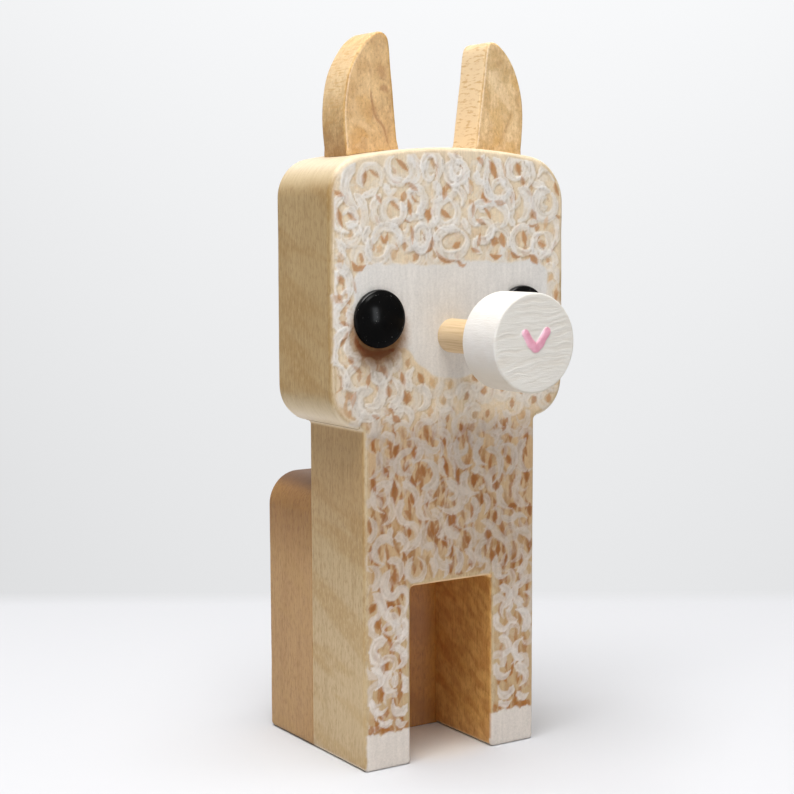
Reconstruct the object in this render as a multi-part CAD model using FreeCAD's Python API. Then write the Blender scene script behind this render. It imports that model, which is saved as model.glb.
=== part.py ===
import FreeCAD, Part
import math
import os
from FreeCAD import Vector

# Eyeglasses stand shaped like a small alpaca, cut from solid wood and glued up.
# Frame: +Z up, the table is z = 0, the animal looks along -Y, x = 0 is its mid-plane.
# The origin is the centre of the underside of the bounding box. "Left" is the viewer's
# left when facing the animal (the -X side). All sizes are in millimetres.

# ---- driving dimensions ---------------------------------------------------------------
BODY_W = 38.5          # width across the legs and trunk
BOARD_T = 19.05        # thickness of the front board (3/4 in stock)
BLOCK_T = 17.15        # thickness of the rear body block
BLOCK_H = 51.4         # height of the rear body block
BLOCK_R = 6.4          # its two rounded shoulders
LEG_W = 10.05          # width of each front leg
CUT_H = 33.6           # height of the cut-out between the legs
HEAD_W = 52.1          # width of the head
HEAD_Z0 = 63.5         # underside of the head
TRUNK_LAP = 5.0        # how far the trunk runs up into the head outline
HEAD_R0 = 7.0          # lower corners of the head
HEAD_R_LEFT = 7.3      # upper corners of the head, the right one sanded rounder
HEAD_R_RIGHT = 9.0
CROWN_Z = 114.1        # highest point of the slightly arched crown
CROWN_X = 1.0          # hand shaping puts it a little right of the middle
CROWN_R = 118.0        # radius of the arch
NECK_R = 0.9           # inside radius between head and trunk
CUT_R = 0.9            # inside radius of the leg cut-out
FOOT_R = 0.9           # lower corners of the feet, seen from the front
ARRIS = 0.8            # eased outer edges
BACK_ARRIS = 0.5       # back edge of the head
BACK_ARRIS_Z0 = HEAD_Z0 + 0.9   # back edges centred above this height are eased

NOSE_D = 17.46         # nose disc diameter (11/16 in)
NOSE_L = 9.4           # nose disc thickness
NOSE_GAP = 15.7        # room between the face and the disc for the spectacle bridge
NOSE_Z = 79.7          # height of the nose axis
NOSE_ARRIS = 0.5
PEG_D = 6.35           # nose peg, 1/4 in dowel
PEG_IN_HEAD = 12.0
PEG_IN_NOSE = 5.2

EYE_D = 10.6           # dome eye
EYE_H = 2.7            # how far the dome stands out
EYE_RIM = 1.0          # straight part of the rim
EYE_X = 16.0
EYE_Z = 83.3
EYE_GAP = 0.02         # between the flat of the eye and the face
SHANK_D = 3.5
SHANK_L = 8.0          # behind the flat of the eye
SHANK_LAP = 0.5        # shank length inside the dome

EAR_T = 7.94           # ear thickness (5/16 in stock)
EAR_BACK = 5.56        # ear front behind the face of the head: about centred on the board
EAR_ARRIS = 0.6
EAR_FOOT_Z = 110.0     # foot of the ear outline, below the crown
EAR_DOWEL_D = 3.175    # 1/8 in dowel
EAR_DOWEL_L = 12.0

BODY_DOWEL_D = 6.35
BODY_DOWEL_L = 20.0
BODY_DOWEL_X = 10.0
BODY_DOWEL_Z = 42.5
BODY_DOWEL_ARRIS = 0.4

GLUE = 0.05            # glue room on each side of a dowel, and under the ears
HOLE_END = 0.3         # free room beyond the end of a dowel or shank
OVERCUT = 1.0          # how far a cutting shape runs past an open surface

# ---- derived places -------------------------------------------------------------------
DEPTH = NOSE_GAP + NOSE_L + BOARD_T + BLOCK_T
Y_NOSE = -DEPTH / 2                         # front of the nose
Y_FACE = Y_NOSE + NOSE_L + NOSE_GAP         # face of the front board
Y_JOINT = Y_FACE + BOARD_T                  # glue plane between board and block
Y_BACK = Y_JOINT + BLOCK_T                  # back of the block
Y_EAR = Y_FACE + EAR_BACK                   # front of the ears
CUT_W = BODY_W - 2 * LEG_W                  # width of the cut-out between the legs
CROWN_CZ = CROWN_Z - CROWN_R                # centre of the crown's arch

Y_AXIS = Vector(0, 1, 0)
Z_AXIS = Vector(0, 0, 1)

# Each ear is hand sawn, so the two are near mirror images and not exact ones: a straight
# inner edge leaning out, a small round tip and a long outer curve, each running smoothly
# into the next. Points are (distance from the mid-plane, height). The tip slope is that
# of the outline, in degrees, where the tip meets the outer curve.
EARS = {
    "left": {
        "side": -1,
        "inner": [(7.6, EAR_FOOT_Z), (9.78, 131.8)],
        "tip_slope": -15.0,
        "outer": [(12.3, 134.75), (13.75, 134.05), (15.1, 132.95), (16.85, 130.6),
                  (18.25, 127.95), (19.15, 124.9), (19.58, 121.5), (19.62, 118.3),
                  (19.35, 114.8), (18.7, EAR_FOOT_Z)],
        "dowel_x": (11.3, 16.5),
    },
    "right": {
        "side": 1,
        "inner": [(8.75, EAR_FOOT_Z), (11.45, 131.2)],
        "tip_slope": -18.0,
        "outer": [(14.0, 134.2), (15.4, 133.35), (16.75, 132.0), (18.15, 130.1),
                  (19.4, 127.4), (20.3, 124.3), (20.65, 120.6), (20.45, 116.7),
                  (20.05, 113.4), (19.5, EAR_FOOT_Z)],
        "dowel_x": (12.4, 17.6),
    },
}
INNER_STEPS = 6        # curve points along the inner edge
TIP_STEPS = 5          # curve points round the tip


# ---- helpers --------------------------------------------------------------------------
def slab(edges, thickness):
    """Closed outline in an XZ plane, drawn out along +Y."""
    face = Part.Face(Part.Wire(Part.__sortEdges__(edges)))
    return face.extrude(Y_AXIS * thickness)


def pin_and_hole(start, axis, diameter, length):
    """A dowel, and the roomier cylinder that cuts its hole."""
    pin = Part.makeCylinder(diameter / 2, length, start, axis)
    hole = Part.makeCylinder(
        diameter / 2 + GLUE, length + 2 * HOLE_END, start - axis * HOLE_END, axis)
    return pin, hole


def fillet_where(shape, radius, test):
    """Round the edges that pass the test; with none, the shape stays as it is."""
    edges = [edge for edge in shape.Edges if test(edge)]
    return shape.makeFillet(radius, edges) if edges else shape


def mid(edge):
    return edge.valueAt((edge.FirstParameter + edge.LastParameter) / 2)


def along_y(edge):
    a, b = edge.Vertexes[0].Point, edge.Vertexes[-1].Point
    return abs(a.x - b.x) < 1e-6 and abs(a.z - b.z) < 1e-6 and abs(a.y - b.y) > 1.0


def runs_back(z, half_width=None, z_tolerance=0.01):
    """Test for edges along Y at height z and, if given, at x = +/- half_width."""
    def test(edge):
        return (along_y(edge) and abs(mid(edge).z - z) < z_tolerance
                and (half_width is None or abs(abs(mid(edge).x) - half_width) < 0.01))
    return test


def in_plane(y):
    """Test for edges centred in the plane at y."""
    return lambda edge: abs(mid(edge).y - y) < 1e-6


def end_circle(edge):
    return abs(edge.BoundBox.YLength) < 1e-6


def save(shape, name):
    if shape.ShapeType != "Compound":
        shape = shape.removeSplitter()
    shape.exportStep("parts/%s.step" % name)


# ---- front board: head, trunk and front legs in one plank -----------------------------
def crown_z(x):
    return CROWN_CZ + math.sqrt(CROWN_R ** 2 - (x - CROWN_X) ** 2)


def crown_corner(side, radius):
    """Centre of an upper corner, and the point where it runs smoothly into the crown."""
    x = side * (HEAD_W / 2 - radius)
    dx = x - CROWN_X
    z = CROWN_CZ + math.sqrt((CROWN_R - radius) ** 2 - dx * dx)
    scale = CROWN_R / (CROWN_R - radius)
    join = Vector(CROWN_X + dx * scale, Y_FACE, CROWN_CZ + (z - CROWN_CZ) * scale)
    return Vector(x, Y_FACE, z), join


def corner_arc(centre, radius, start, end):
    """The shorter arc round a centre between two of its points."""
    outward = ((start + end) * 0.5 - centre).normalize()
    return Part.Arc(start, centre + outward * radius, end).toShape()


def head_slab():
    half = HEAD_W / 2
    flat = half - HEAD_R0
    corner_z = HEAD_Z0 + HEAD_R0

    def point(x, z):
        return Vector(x, Y_FACE, z)

    def line(start, end):
        return Part.LineSegment(start, end).toShape()

    left_centre, left_join = crown_corner(-1, HEAD_R_LEFT)
    right_centre, right_join = crown_corner(1, HEAD_R_RIGHT)
    left_top = point(-half, left_centre.z)
    right_top = point(half, right_centre.z)
    left_low, right_low = point(-half, corner_z), point(half, corner_z)
    left_flat, right_flat = point(-flat, HEAD_Z0), point(flat, HEAD_Z0)
    return slab([
        line(left_flat, right_flat),
        corner_arc(point(flat, corner_z), HEAD_R0, right_flat, right_low),
        line(right_low, right_top),
        corner_arc(right_centre, HEAD_R_RIGHT, right_top, right_join),
        Part.Arc(right_join, point(CROWN_X, CROWN_Z), left_join).toShape(),
        corner_arc(left_centre, HEAD_R_LEFT, left_join, left_top),
        line(left_top, left_low),
        corner_arc(point(-flat, corner_z), HEAD_R0, left_low, left_flat),
    ], BOARD_T)


def front_board():
    """The shaped board, before its holes are drilled."""
    trunk = Part.makeBox(BODY_W, BOARD_T, HEAD_Z0 + TRUNK_LAP, Vector(-BODY_W / 2, Y_FACE, 0))
    cut = Part.makeBox(CUT_W, BOARD_T + 2 * OVERCUT, CUT_H + OVERCUT,
                       Vector(-CUT_W / 2, Y_FACE - OVERCUT, -OVERCUT))
    board = head_slab().fuse(trunk).cut(cut).removeSplitter()
    board = fillet_where(board, CUT_R, runs_back(CUT_H, CUT_W / 2))
    # the trunk is a little wider than the flat underside, so the neck meets the corner arcs
    board = fillet_where(board, NECK_R, runs_back(HEAD_Z0, BODY_W / 2, z_tolerance=0.3))
    board = fillet_where(board, FOOT_R, runs_back(0))
    board = fillet_where(board, ARRIS, in_plane(Y_FACE))
    at_joint = in_plane(Y_JOINT)
    return fillet_where(board, BACK_ARRIS, lambda e: at_joint(e) and mid(e).z > BACK_ARRIS_Z0)


# ---- rear body block ------------------------------------------------------------------
def rear_block():
    block = Part.makeBox(BODY_W, BLOCK_T, BLOCK_H, Vector(-BODY_W / 2, Y_JOINT, 0))
    block = fillet_where(block, BLOCK_R, runs_back(BLOCK_H))
    block = fillet_where(block, FOOT_R, runs_back(0))
    return fillet_where(block, ARRIS, in_plane(Y_BACK))


# ---- ears -----------------------------------------------------------------------------
def ear_outline(spec):
    """Points from the inner foot over the tip to the outer foot, with x from the mid-plane."""
    foot, inner_top = [Vector(x, Y_EAR, z) for x, z in spec["inner"]]
    outer = [Vector(x, Y_EAR, z) for x, z in spec["outer"]]

    # tip: the circle that touches the inner edge and meets the outer curve at its first point
    along = (inner_top - foot).normalize()
    into_ear = Vector(along.z, 0, -along.x)
    start_angle = math.atan2(-into_ear.z, -into_ear.x)
    end_angle = math.radians(90 + spec["tip_slope"])
    outward = Vector(math.cos(end_angle), 0, math.sin(end_angle))
    radius = (outer[0] - foot).dot(into_ear) / (1 + outward.dot(into_ear))
    centre = outer[0] - outward * radius
    tip_start = centre - into_ear * radius

    inner = [foot + (tip_start - foot) * (i / INNER_STEPS) for i in range(INNER_STEPS)]
    tip = []
    for i in range(TIP_STEPS):
        angle = start_angle + (end_angle - start_angle) * i / TIP_STEPS
        tip.append(centre + Vector(math.cos(angle), 0, math.sin(angle)) * radius)
    return inner + tip + outer


def ear(spec):
    points = [Vector(spec["side"] * p.x, p.y, p.z) for p in ear_outline(spec)]
    curve = Part.BSplineCurve()
    curve.interpolate(points)
    foot_line = Part.LineSegment(points[-1], points[0])
    body = slab([curve.toShape(), foot_line.toShape()], EAR_T)
    front, back = in_plane(Y_EAR), in_plane(Y_EAR + EAR_T)
    # the foot edges stay sharp
    body = fillet_where(body, EAR_ARRIS,
                        lambda e: (front(e) or back(e)) and mid(e).z > EAR_FOOT_Z + 0.5)
    # the foot of the ear is sanded to the arch of the crown, on a thin glue line
    arch = Part.makeCylinder(CROWN_R + GLUE, BOARD_T + 2 * OVERCUT,
                             Vector(CROWN_X, Y_FACE - OVERCUT, CROWN_CZ), Y_AXIS)
    return body.cut(arch)


def ear_dowel(x):
    """Upright dowel, half in the ear and half in the head, and its hole."""
    start = Vector(x, Y_EAR + EAR_T / 2, crown_z(x) - EAR_DOWEL_L / 2)
    return pin_and_hole(start, Z_AXIS, EAR_DOWEL_D, EAR_DOWEL_L)


# ---- nose disc and the peg that carries the spectacle bridge --------------------------
def nose_disc():
    disc = Part.makeCylinder(NOSE_D / 2, NOSE_L, Vector(0, Y_NOSE, NOSE_Z), Y_AXIS)
    return fillet_where(disc, NOSE_ARRIS, end_circle)


def nose_peg():
    start = Vector(0, Y_NOSE + NOSE_L - PEG_IN_NOSE, NOSE_Z)
    return pin_and_hole(start, Y_AXIS, PEG_D, PEG_IN_NOSE + NOSE_GAP + PEG_IN_HEAD)


# ---- eyes: moulded domes, each with its own glued-in shank ----------------------------
def eye(x):
    radius = EYE_D / 2
    cap_h = EYE_H - EYE_RIM
    sphere_r = (radius ** 2 + cap_h ** 2) / (2 * cap_h)
    half_angle = math.asin(radius / sphere_r) / 2
    y_flat = Y_FACE - EYE_GAP

    def point(from_axis, out):
        return Vector(x + from_axis, y_flat - out, EYE_Z)

    centre, flat_edge = point(0, 0), point(radius, 0)
    rim, top = point(radius, EYE_RIM), point(0, EYE_H)
    on_cap = point(sphere_r * math.sin(half_angle),
                   EYE_H - sphere_r + sphere_r * math.cos(half_angle))
    profile = Part.Wire([
        Part.LineSegment(centre, flat_edge).toShape(),
        Part.LineSegment(flat_edge, rim).toShape(),
        Part.Arc(rim, on_cap, top).toShape(),
        Part.LineSegment(top, centre).toShape(),
    ])
    dome = Part.Face(profile).revolve(centre, Y_AXIS, 360)
    # the turned solid may come out inside out
    if dome.Volume < 0:
        dome.reverse()
    shank = Part.makeCylinder(SHANK_D / 2, SHANK_L + SHANK_LAP, point(0, SHANK_LAP), Y_AXIS)
    return dome.fuse(shank).removeSplitter()


def shank_hole(x):
    return Part.makeCylinder(SHANK_D / 2 + GLUE, OVERCUT + SHANK_L + HOLE_END,
                             Vector(x, Y_FACE - OVERCUT, EYE_Z), Y_AXIS)


# ---- dowels between the front board and the rear block --------------------------------
def body_dowel(x):
    start = Vector(x, Y_JOINT - BODY_DOWEL_L / 2, BODY_DOWEL_Z)
    pin, hole = pin_and_hole(start, Y_AXIS, BODY_DOWEL_D, BODY_DOWEL_L)
    return fillet_where(pin, BODY_DOWEL_ARRIS, end_circle), hole


# ---- make the pieces, drill them and write them ---------------------------------------
parts = {}
board = front_board()
block = rear_block()

for name, spec in EARS.items():
    ear_solid = ear(spec)
    pins = []
    for distance in spec["dowel_x"]:
        pin, hole = ear_dowel(spec["side"] * distance)
        ear_solid = ear_solid.cut(hole)
        board = board.cut(hole)
        pins.append(pin)
    parts[name + "_ear"] = ear_solid
    parts[name + "_ear_dowels"] = Part.makeCompound(pins)

peg, hole = nose_peg()
board = board.cut(hole)
parts["nose_disc"] = nose_disc().cut(hole)
parts["nose_peg"] = peg

for name, x in (("left", -EYE_X), ("right", EYE_X)):
    parts[name + "_eye"] = eye(x)
    board = board.cut(shank_hole(x))

body_pins = []
for x in (-BODY_DOWEL_X, BODY_DOWEL_X):
    pin, hole = body_dowel(x)
    board = board.cut(hole)
    block = block.cut(hole)
    body_pins.append(pin)
parts["body_dowels"] = Part.makeCompound(body_pins)
parts["front_board"] = board
parts["rear_body_block"] = block

os.makedirs("parts", exist_ok=True)
for name, shape in parts.items():
    save(shape, name)
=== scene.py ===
import math

import bpy
import numpy as np
from mathutils import Matrix, Vector, geometry


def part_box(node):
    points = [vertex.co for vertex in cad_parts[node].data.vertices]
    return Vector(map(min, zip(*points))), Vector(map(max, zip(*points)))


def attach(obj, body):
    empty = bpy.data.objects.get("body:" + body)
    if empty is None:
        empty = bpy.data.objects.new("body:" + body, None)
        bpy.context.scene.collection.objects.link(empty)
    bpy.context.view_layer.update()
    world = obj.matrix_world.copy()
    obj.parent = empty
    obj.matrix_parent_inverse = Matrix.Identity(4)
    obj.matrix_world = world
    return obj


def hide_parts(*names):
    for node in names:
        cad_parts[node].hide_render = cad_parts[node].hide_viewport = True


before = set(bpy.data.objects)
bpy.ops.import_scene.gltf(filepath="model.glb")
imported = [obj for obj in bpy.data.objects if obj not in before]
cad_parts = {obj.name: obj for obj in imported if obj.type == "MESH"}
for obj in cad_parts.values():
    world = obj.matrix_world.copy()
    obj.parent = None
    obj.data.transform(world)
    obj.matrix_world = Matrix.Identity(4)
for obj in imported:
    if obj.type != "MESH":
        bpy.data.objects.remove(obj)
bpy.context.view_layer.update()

MM = 0.001
rng = np.random.default_rng(20)

# =======================================================================================
# Places, read from the imported CAD parts where their boxes give them, in millimetres
# =======================================================================================


def cad(node):
    lo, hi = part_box(node)
    return np.array(lo) / MM, np.array(hi) / MM


board_lo, board_hi = cad("front_board")
block_lo, block_hi = cad("rear_body_block")
nose_lo, nose_hi = cad("nose_disc")
peg_lo, peg_hi = cad("nose_peg")
ears = {"left": cad("left_ear"), "right": cad("right_ear")}
eyes = {"left": cad("left_eye"), "right": cad("right_eye")}

HEAD_W = board_hi[0] - board_lo[0]
BODY_W = block_hi[0] - block_lo[0]
Y_FACE, Y_JOINT = board_lo[1], board_hi[1]
BLOCK_H = block_hi[2]
CROWN_Z = board_hi[2]
NOSE_D = nose_hi[0] - nose_lo[0]
NOSE_Z = (nose_lo[2] + nose_hi[2]) / 2

# radii and cut-out of the CAD outline, which its boxes do not give
LEG_W, CUT_H, HEAD_Z0 = 10.05, 33.6, 63.5
HEAD_R0, HEAD_R_LEFT, HEAD_R_RIGHT = 7.0, 7.3, 9.0
CROWN_X, CROWN_R = 1.0, 118.0
CROWN_CZ = CROWN_Z - CROWN_R
NECK_R = CUT_R = FOOT_R = 0.9
ARRIS, BLOCK_R = 0.8, 6.4

# =======================================================================================
# Outlines: closed, anticlockwise in (x, z), with the outward normal at every point
# =======================================================================================


def seg(a, b, step):
    n = max(1, int(round(math.hypot(b[0] - a[0], b[1] - a[1]) / step)))
    return [(a[0] + (b[0] - a[0]) * i / n, a[1] + (b[1] - a[1]) * i / n) for i in range(n)]


def arc(c, r, a0, a1, step):
    n = max(5, int(round(abs(math.radians(a1 - a0)) * r / step)))
    return [
        (c[0] + r * math.cos(math.radians(a0 + (a1 - a0) * i / n)), c[1] + r * math.sin(math.radians(a0 + (a1 - a0) * i / n)))
        for i in range(n)
    ]


def normals(p):
    """Outward normals of a closed anticlockwise outline."""
    p = np.asarray(p, float)
    a, b = np.roll(p, 1, 0), np.roll(p, -1, 0)
    d1, d2 = p - a, b - p
    l1, l2 = np.linalg.norm(d1, axis=1), np.linalg.norm(d2, axis=1)
    t = d1 / l1[:, None] / l1[:, None] + d2 / l2[:, None] / l2[:, None]
    t /= np.linalg.norm(t, axis=1)[:, None]
    return np.column_stack([t[:, 1], -t[:, 0]])


def crown_corner(side, r):
    cx = side * (HEAD_W / 2 - r)
    dx = cx - CROWN_X
    cz = CROWN_CZ + math.sqrt((CROWN_R - r) ** 2 - dx * dx)
    return cx, cz


def board_outline(step=0.42):
    h, b, c = HEAD_W / 2, BODY_W / 2, BODY_W / 2 - LEG_W
    f = FOOT_R
    p = []
    # left foot, round the cut-out, right foot
    p += arc((-b + f, f), f, 180, 270, 0.2)
    p += seg((-b + f, 0), (-c - f, 0), step)
    p += arc((-c - f, f), f, 270, 360, 0.2)
    p += seg((-c, f), (-c, CUT_H - CUT_R), step)
    p += arc((-c + CUT_R, CUT_H - CUT_R), CUT_R, 180, 90, 0.2)
    p += seg((-c + CUT_R, CUT_H), (c - CUT_R, CUT_H), step)
    p += arc((c - CUT_R, CUT_H - CUT_R), CUT_R, 90, 0, 0.2)
    p += seg((c, CUT_H - CUT_R), (c, f), step)
    p += arc((c + f, f), f, 180, 270, 0.2)
    p += seg((c + f, 0), (b - f, 0), step)
    p += arc((b - f, f), f, 270, 360, 0.2)
    p += seg((b, f), (b, HEAD_Z0 - NECK_R), step)
    p += arc((b + NECK_R, HEAD_Z0 - NECK_R), NECK_R, 180, 90, 0.2)
    p += seg((b + NECK_R, HEAD_Z0), (h - HEAD_R0, HEAD_Z0), 0.2) if h - HEAD_R0 > b + NECK_R else []
    p += arc((h - HEAD_R0, HEAD_Z0 + HEAD_R0), HEAD_R0, 270, 360, step)
    cr, cl = crown_corner(1, HEAD_R_RIGHT), crown_corner(-1, HEAD_R_LEFT)
    p += seg((h, HEAD_Z0 + HEAD_R0), (h, cr[1]), step)
    ar = math.degrees(math.atan2(cr[1] - CROWN_CZ, cr[0] - CROWN_X))
    al = math.degrees(math.atan2(cl[1] - CROWN_CZ, cl[0] - CROWN_X))
    p += arc(cr, HEAD_R_RIGHT, 0, ar, step)
    p += arc((CROWN_X, CROWN_CZ), CROWN_R, ar, al, step)
    p += arc(cl, HEAD_R_LEFT, al, 180, step)
    p += seg((-h, cl[1]), (-h, HEAD_Z0 + HEAD_R0), step)
    p += arc((-h + HEAD_R0, HEAD_Z0 + HEAD_R0), HEAD_R0, 180, 270, step)
    p += seg((-h + HEAD_R0, HEAD_Z0), (-b - NECK_R, HEAD_Z0), 0.2) if h - HEAD_R0 > b + NECK_R else []
    p += arc((-b - NECK_R, HEAD_Z0 - NECK_R), NECK_R, 90, 0, 0.2)
    p += seg((-b, HEAD_Z0 - NECK_R), (-b, f), step)
    q = [p[0]]
    for a in p[1:]:
        if math.hypot(a[0] - q[-1][0], a[1] - q[-1][1]) > 0.02:
            q.append(a)
    return np.array(q)


def block_outline(step=0.6):
    b, f, r = BODY_W / 2, FOOT_R, BLOCK_R
    p = arc((-b + f, f), f, 180, 270, 0.2)
    p += seg((-b + f, 0), (b - f, 0), step)
    p += arc((b - f, f), f, 270, 360, 0.2)
    p += seg((b, f), (b, BLOCK_H - r), step)
    p += arc((b - r, BLOCK_H - r), r, 0, 90, step)
    p += seg((b - r, BLOCK_H), (-b + r, BLOCK_H), step)
    p += arc((-b + r, BLOCK_H - r), r, 90, 180, step)
    p += seg((-b, BLOCK_H - r), (-b, f), step)
    return np.array(p)


def spline(pts, step):
    """Natural cubic spline through points, sampled evenly."""
    p = np.array(pts, float)
    t = np.r_[0, np.cumsum(np.linalg.norm(np.diff(p, axis=0), axis=1))]
    n, h = len(p), np.diff(t)
    A, rhs = np.zeros((n, n)), np.zeros((n, 2))
    A[0, 0] = A[-1, -1] = 1
    for i in range(1, n - 1):
        A[i, i - 1], A[i, i], A[i, i + 1] = h[i - 1], 2 * (h[i - 1] + h[i]), h[i]
        rhs[i] = 6 * ((p[i + 1] - p[i]) / h[i] - (p[i] - p[i - 1]) / h[i - 1])
    m = np.linalg.solve(A, rhs)
    s = np.linspace(0, t[-1], max(4, int(t[-1] / step)))
    k = np.clip(np.searchsorted(t, s) - 1, 0, n - 2)
    a, b, hk = (t[k + 1] - s)[:, None], (s - t[k])[:, None], h[k][:, None]
    return (
        m[k] * a ** 3 / (6 * hk)
        + m[k + 1] * b ** 3 / (6 * hk)
        + (p[k] / hk - m[k] * hk / 6) * a
        + (p[k + 1] / hk - m[k + 1] * hk / 6) * b
    )


EARS = {
    "left": dict(
        side=-1, inner=[(7.6, 110.0), (9.78, 131.8)], slope=-15.0,
        outer=[(12.3, 134.75), (13.75, 134.05), (15.1, 132.95), (16.85, 130.6), (18.25, 127.95),
               (19.15, 124.9), (19.58, 121.5), (19.62, 118.3), (19.35, 114.8), (18.7, 110.0)],
    ),
    "right": dict(
        side=1, inner=[(8.75, 110.0), (11.45, 131.2)], slope=-18.0,
        outer=[(14.0, 134.2), (15.4, 133.35), (16.75, 132.0), (18.15, 130.1), (19.4, 127.4),
               (20.3, 124.3), (20.65, 120.6), (20.45, 116.7), (20.05, 113.4), (19.5, 110.0)],
    ),
}


def ear_outline(spec, step=0.28):
    (ax, az), (bx, bz) = spec["inner"]
    qx, qz = spec["outer"][0]
    n = math.hypot(bx - ax, bz - az)
    nx, nz = (bz - az) / n, -(bx - ax) / n
    s = math.radians(spec["slope"])
    mx, mz = -math.sin(s), math.cos(s)
    r = ((qx - ax) * nx + (qz - az) * nz) / (1 + mx * nx + mz * nz)
    c = (qx - r * mx, qz - r * mz)
    start = (c[0] - r * nx, c[1] - r * nz)
    pts = [(ax + (start[0] - ax) * i / 6.0, az + (start[1] - az) * i / 6.0) for i in range(6)]
    a0 = math.atan2(start[1] - c[1], start[0] - c[0])
    a1 = math.atan2(qz - c[1], qx - c[0])
    a0 = a0 + 2 * math.pi if a0 < 0 else a0
    pts += [(c[0] + r * math.cos(a0 + (a1 - a0) * i / 5.0), c[1] + r * math.sin(a0 + (a1 - a0) * i / 5.0)) for i in range(5)]
    pts += spec["outer"]
    curve = spline(pts, step)
    curve[:, 0] *= spec["side"]
    R = CROWN_R + 0.05
    above = np.hypot(curve[:, 0] - CROWN_X, curve[:, 1] - CROWN_CZ) > R + 0.02
    curve = curve[above]

    def foot(p, q):
        """Where the line through the last two points meets the crown."""
        d = (p - q) / np.linalg.norm(p - q)
        x = p.copy()
        for _ in range(20):
            x = x - d * (math.hypot(x[0] - CROWN_X, x[1] - CROWN_CZ) - R) / (d[1] if abs(d[1]) > 0.2 else 1)
        return x

    a, b = foot(curve[0], curve[1]), foot(curve[-1], curve[-2])
    ga = math.atan2(a[1] - CROWN_CZ, a[0] - CROWN_X)
    gb = math.atan2(b[1] - CROWN_CZ, b[0] - CROWN_X)
    m = int(abs(ga - gb) * R / step)
    closing = [(CROWN_X + R * math.cos(gb + (ga - gb) * i / m), CROWN_CZ + R * math.sin(gb + (ga - gb) * i / m)) for i in range(m)]
    p = np.vstack([a, curve, np.array(closing)])
    area = 0.5 * np.sum(p[:, 0] * np.roll(p[:, 1], -1) - np.roll(p[:, 0], -1) * p[:, 1])
    return p if area > 0 else p[::-1].copy()


# =======================================================================================
# Smooth seeded noise, for hand-made unevenness
# =======================================================================================


def noise2(x, z, scale, seed):
    """Value noise between -1 and 1."""
    g = np.random.default_rng(seed).uniform(-1, 1, (64, 64))
    u, v = np.asarray(x) / scale + 17.3, np.asarray(z) / scale + 9.1
    i, j = np.floor(u).astype(int), np.floor(v).astype(int)
    fu, fv = u - i, v - j
    fu, fv = fu * fu * (3 - 2 * fu), fv * fv * (3 - 2 * fv)
    a, b = g[i % 64, j % 64], g[(i + 1) % 64, j % 64]
    c, d = g[i % 64, (j + 1) % 64], g[(i + 1) % 64, (j + 1) % 64]
    return (a * (1 - fu) + b * fu) * (1 - fv) + (c * (1 - fu) + d * fu) * fv


def smooth(e0, e1, x):
    t = np.clip((x - e0) / (e1 - e0), 0, 1)
    return t * t * (3 - 2 * t)


# =======================================================================================
# Paint, laid down stroke by stroke on a fine raster of the face
# =======================================================================================
GRID = 0.115


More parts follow.
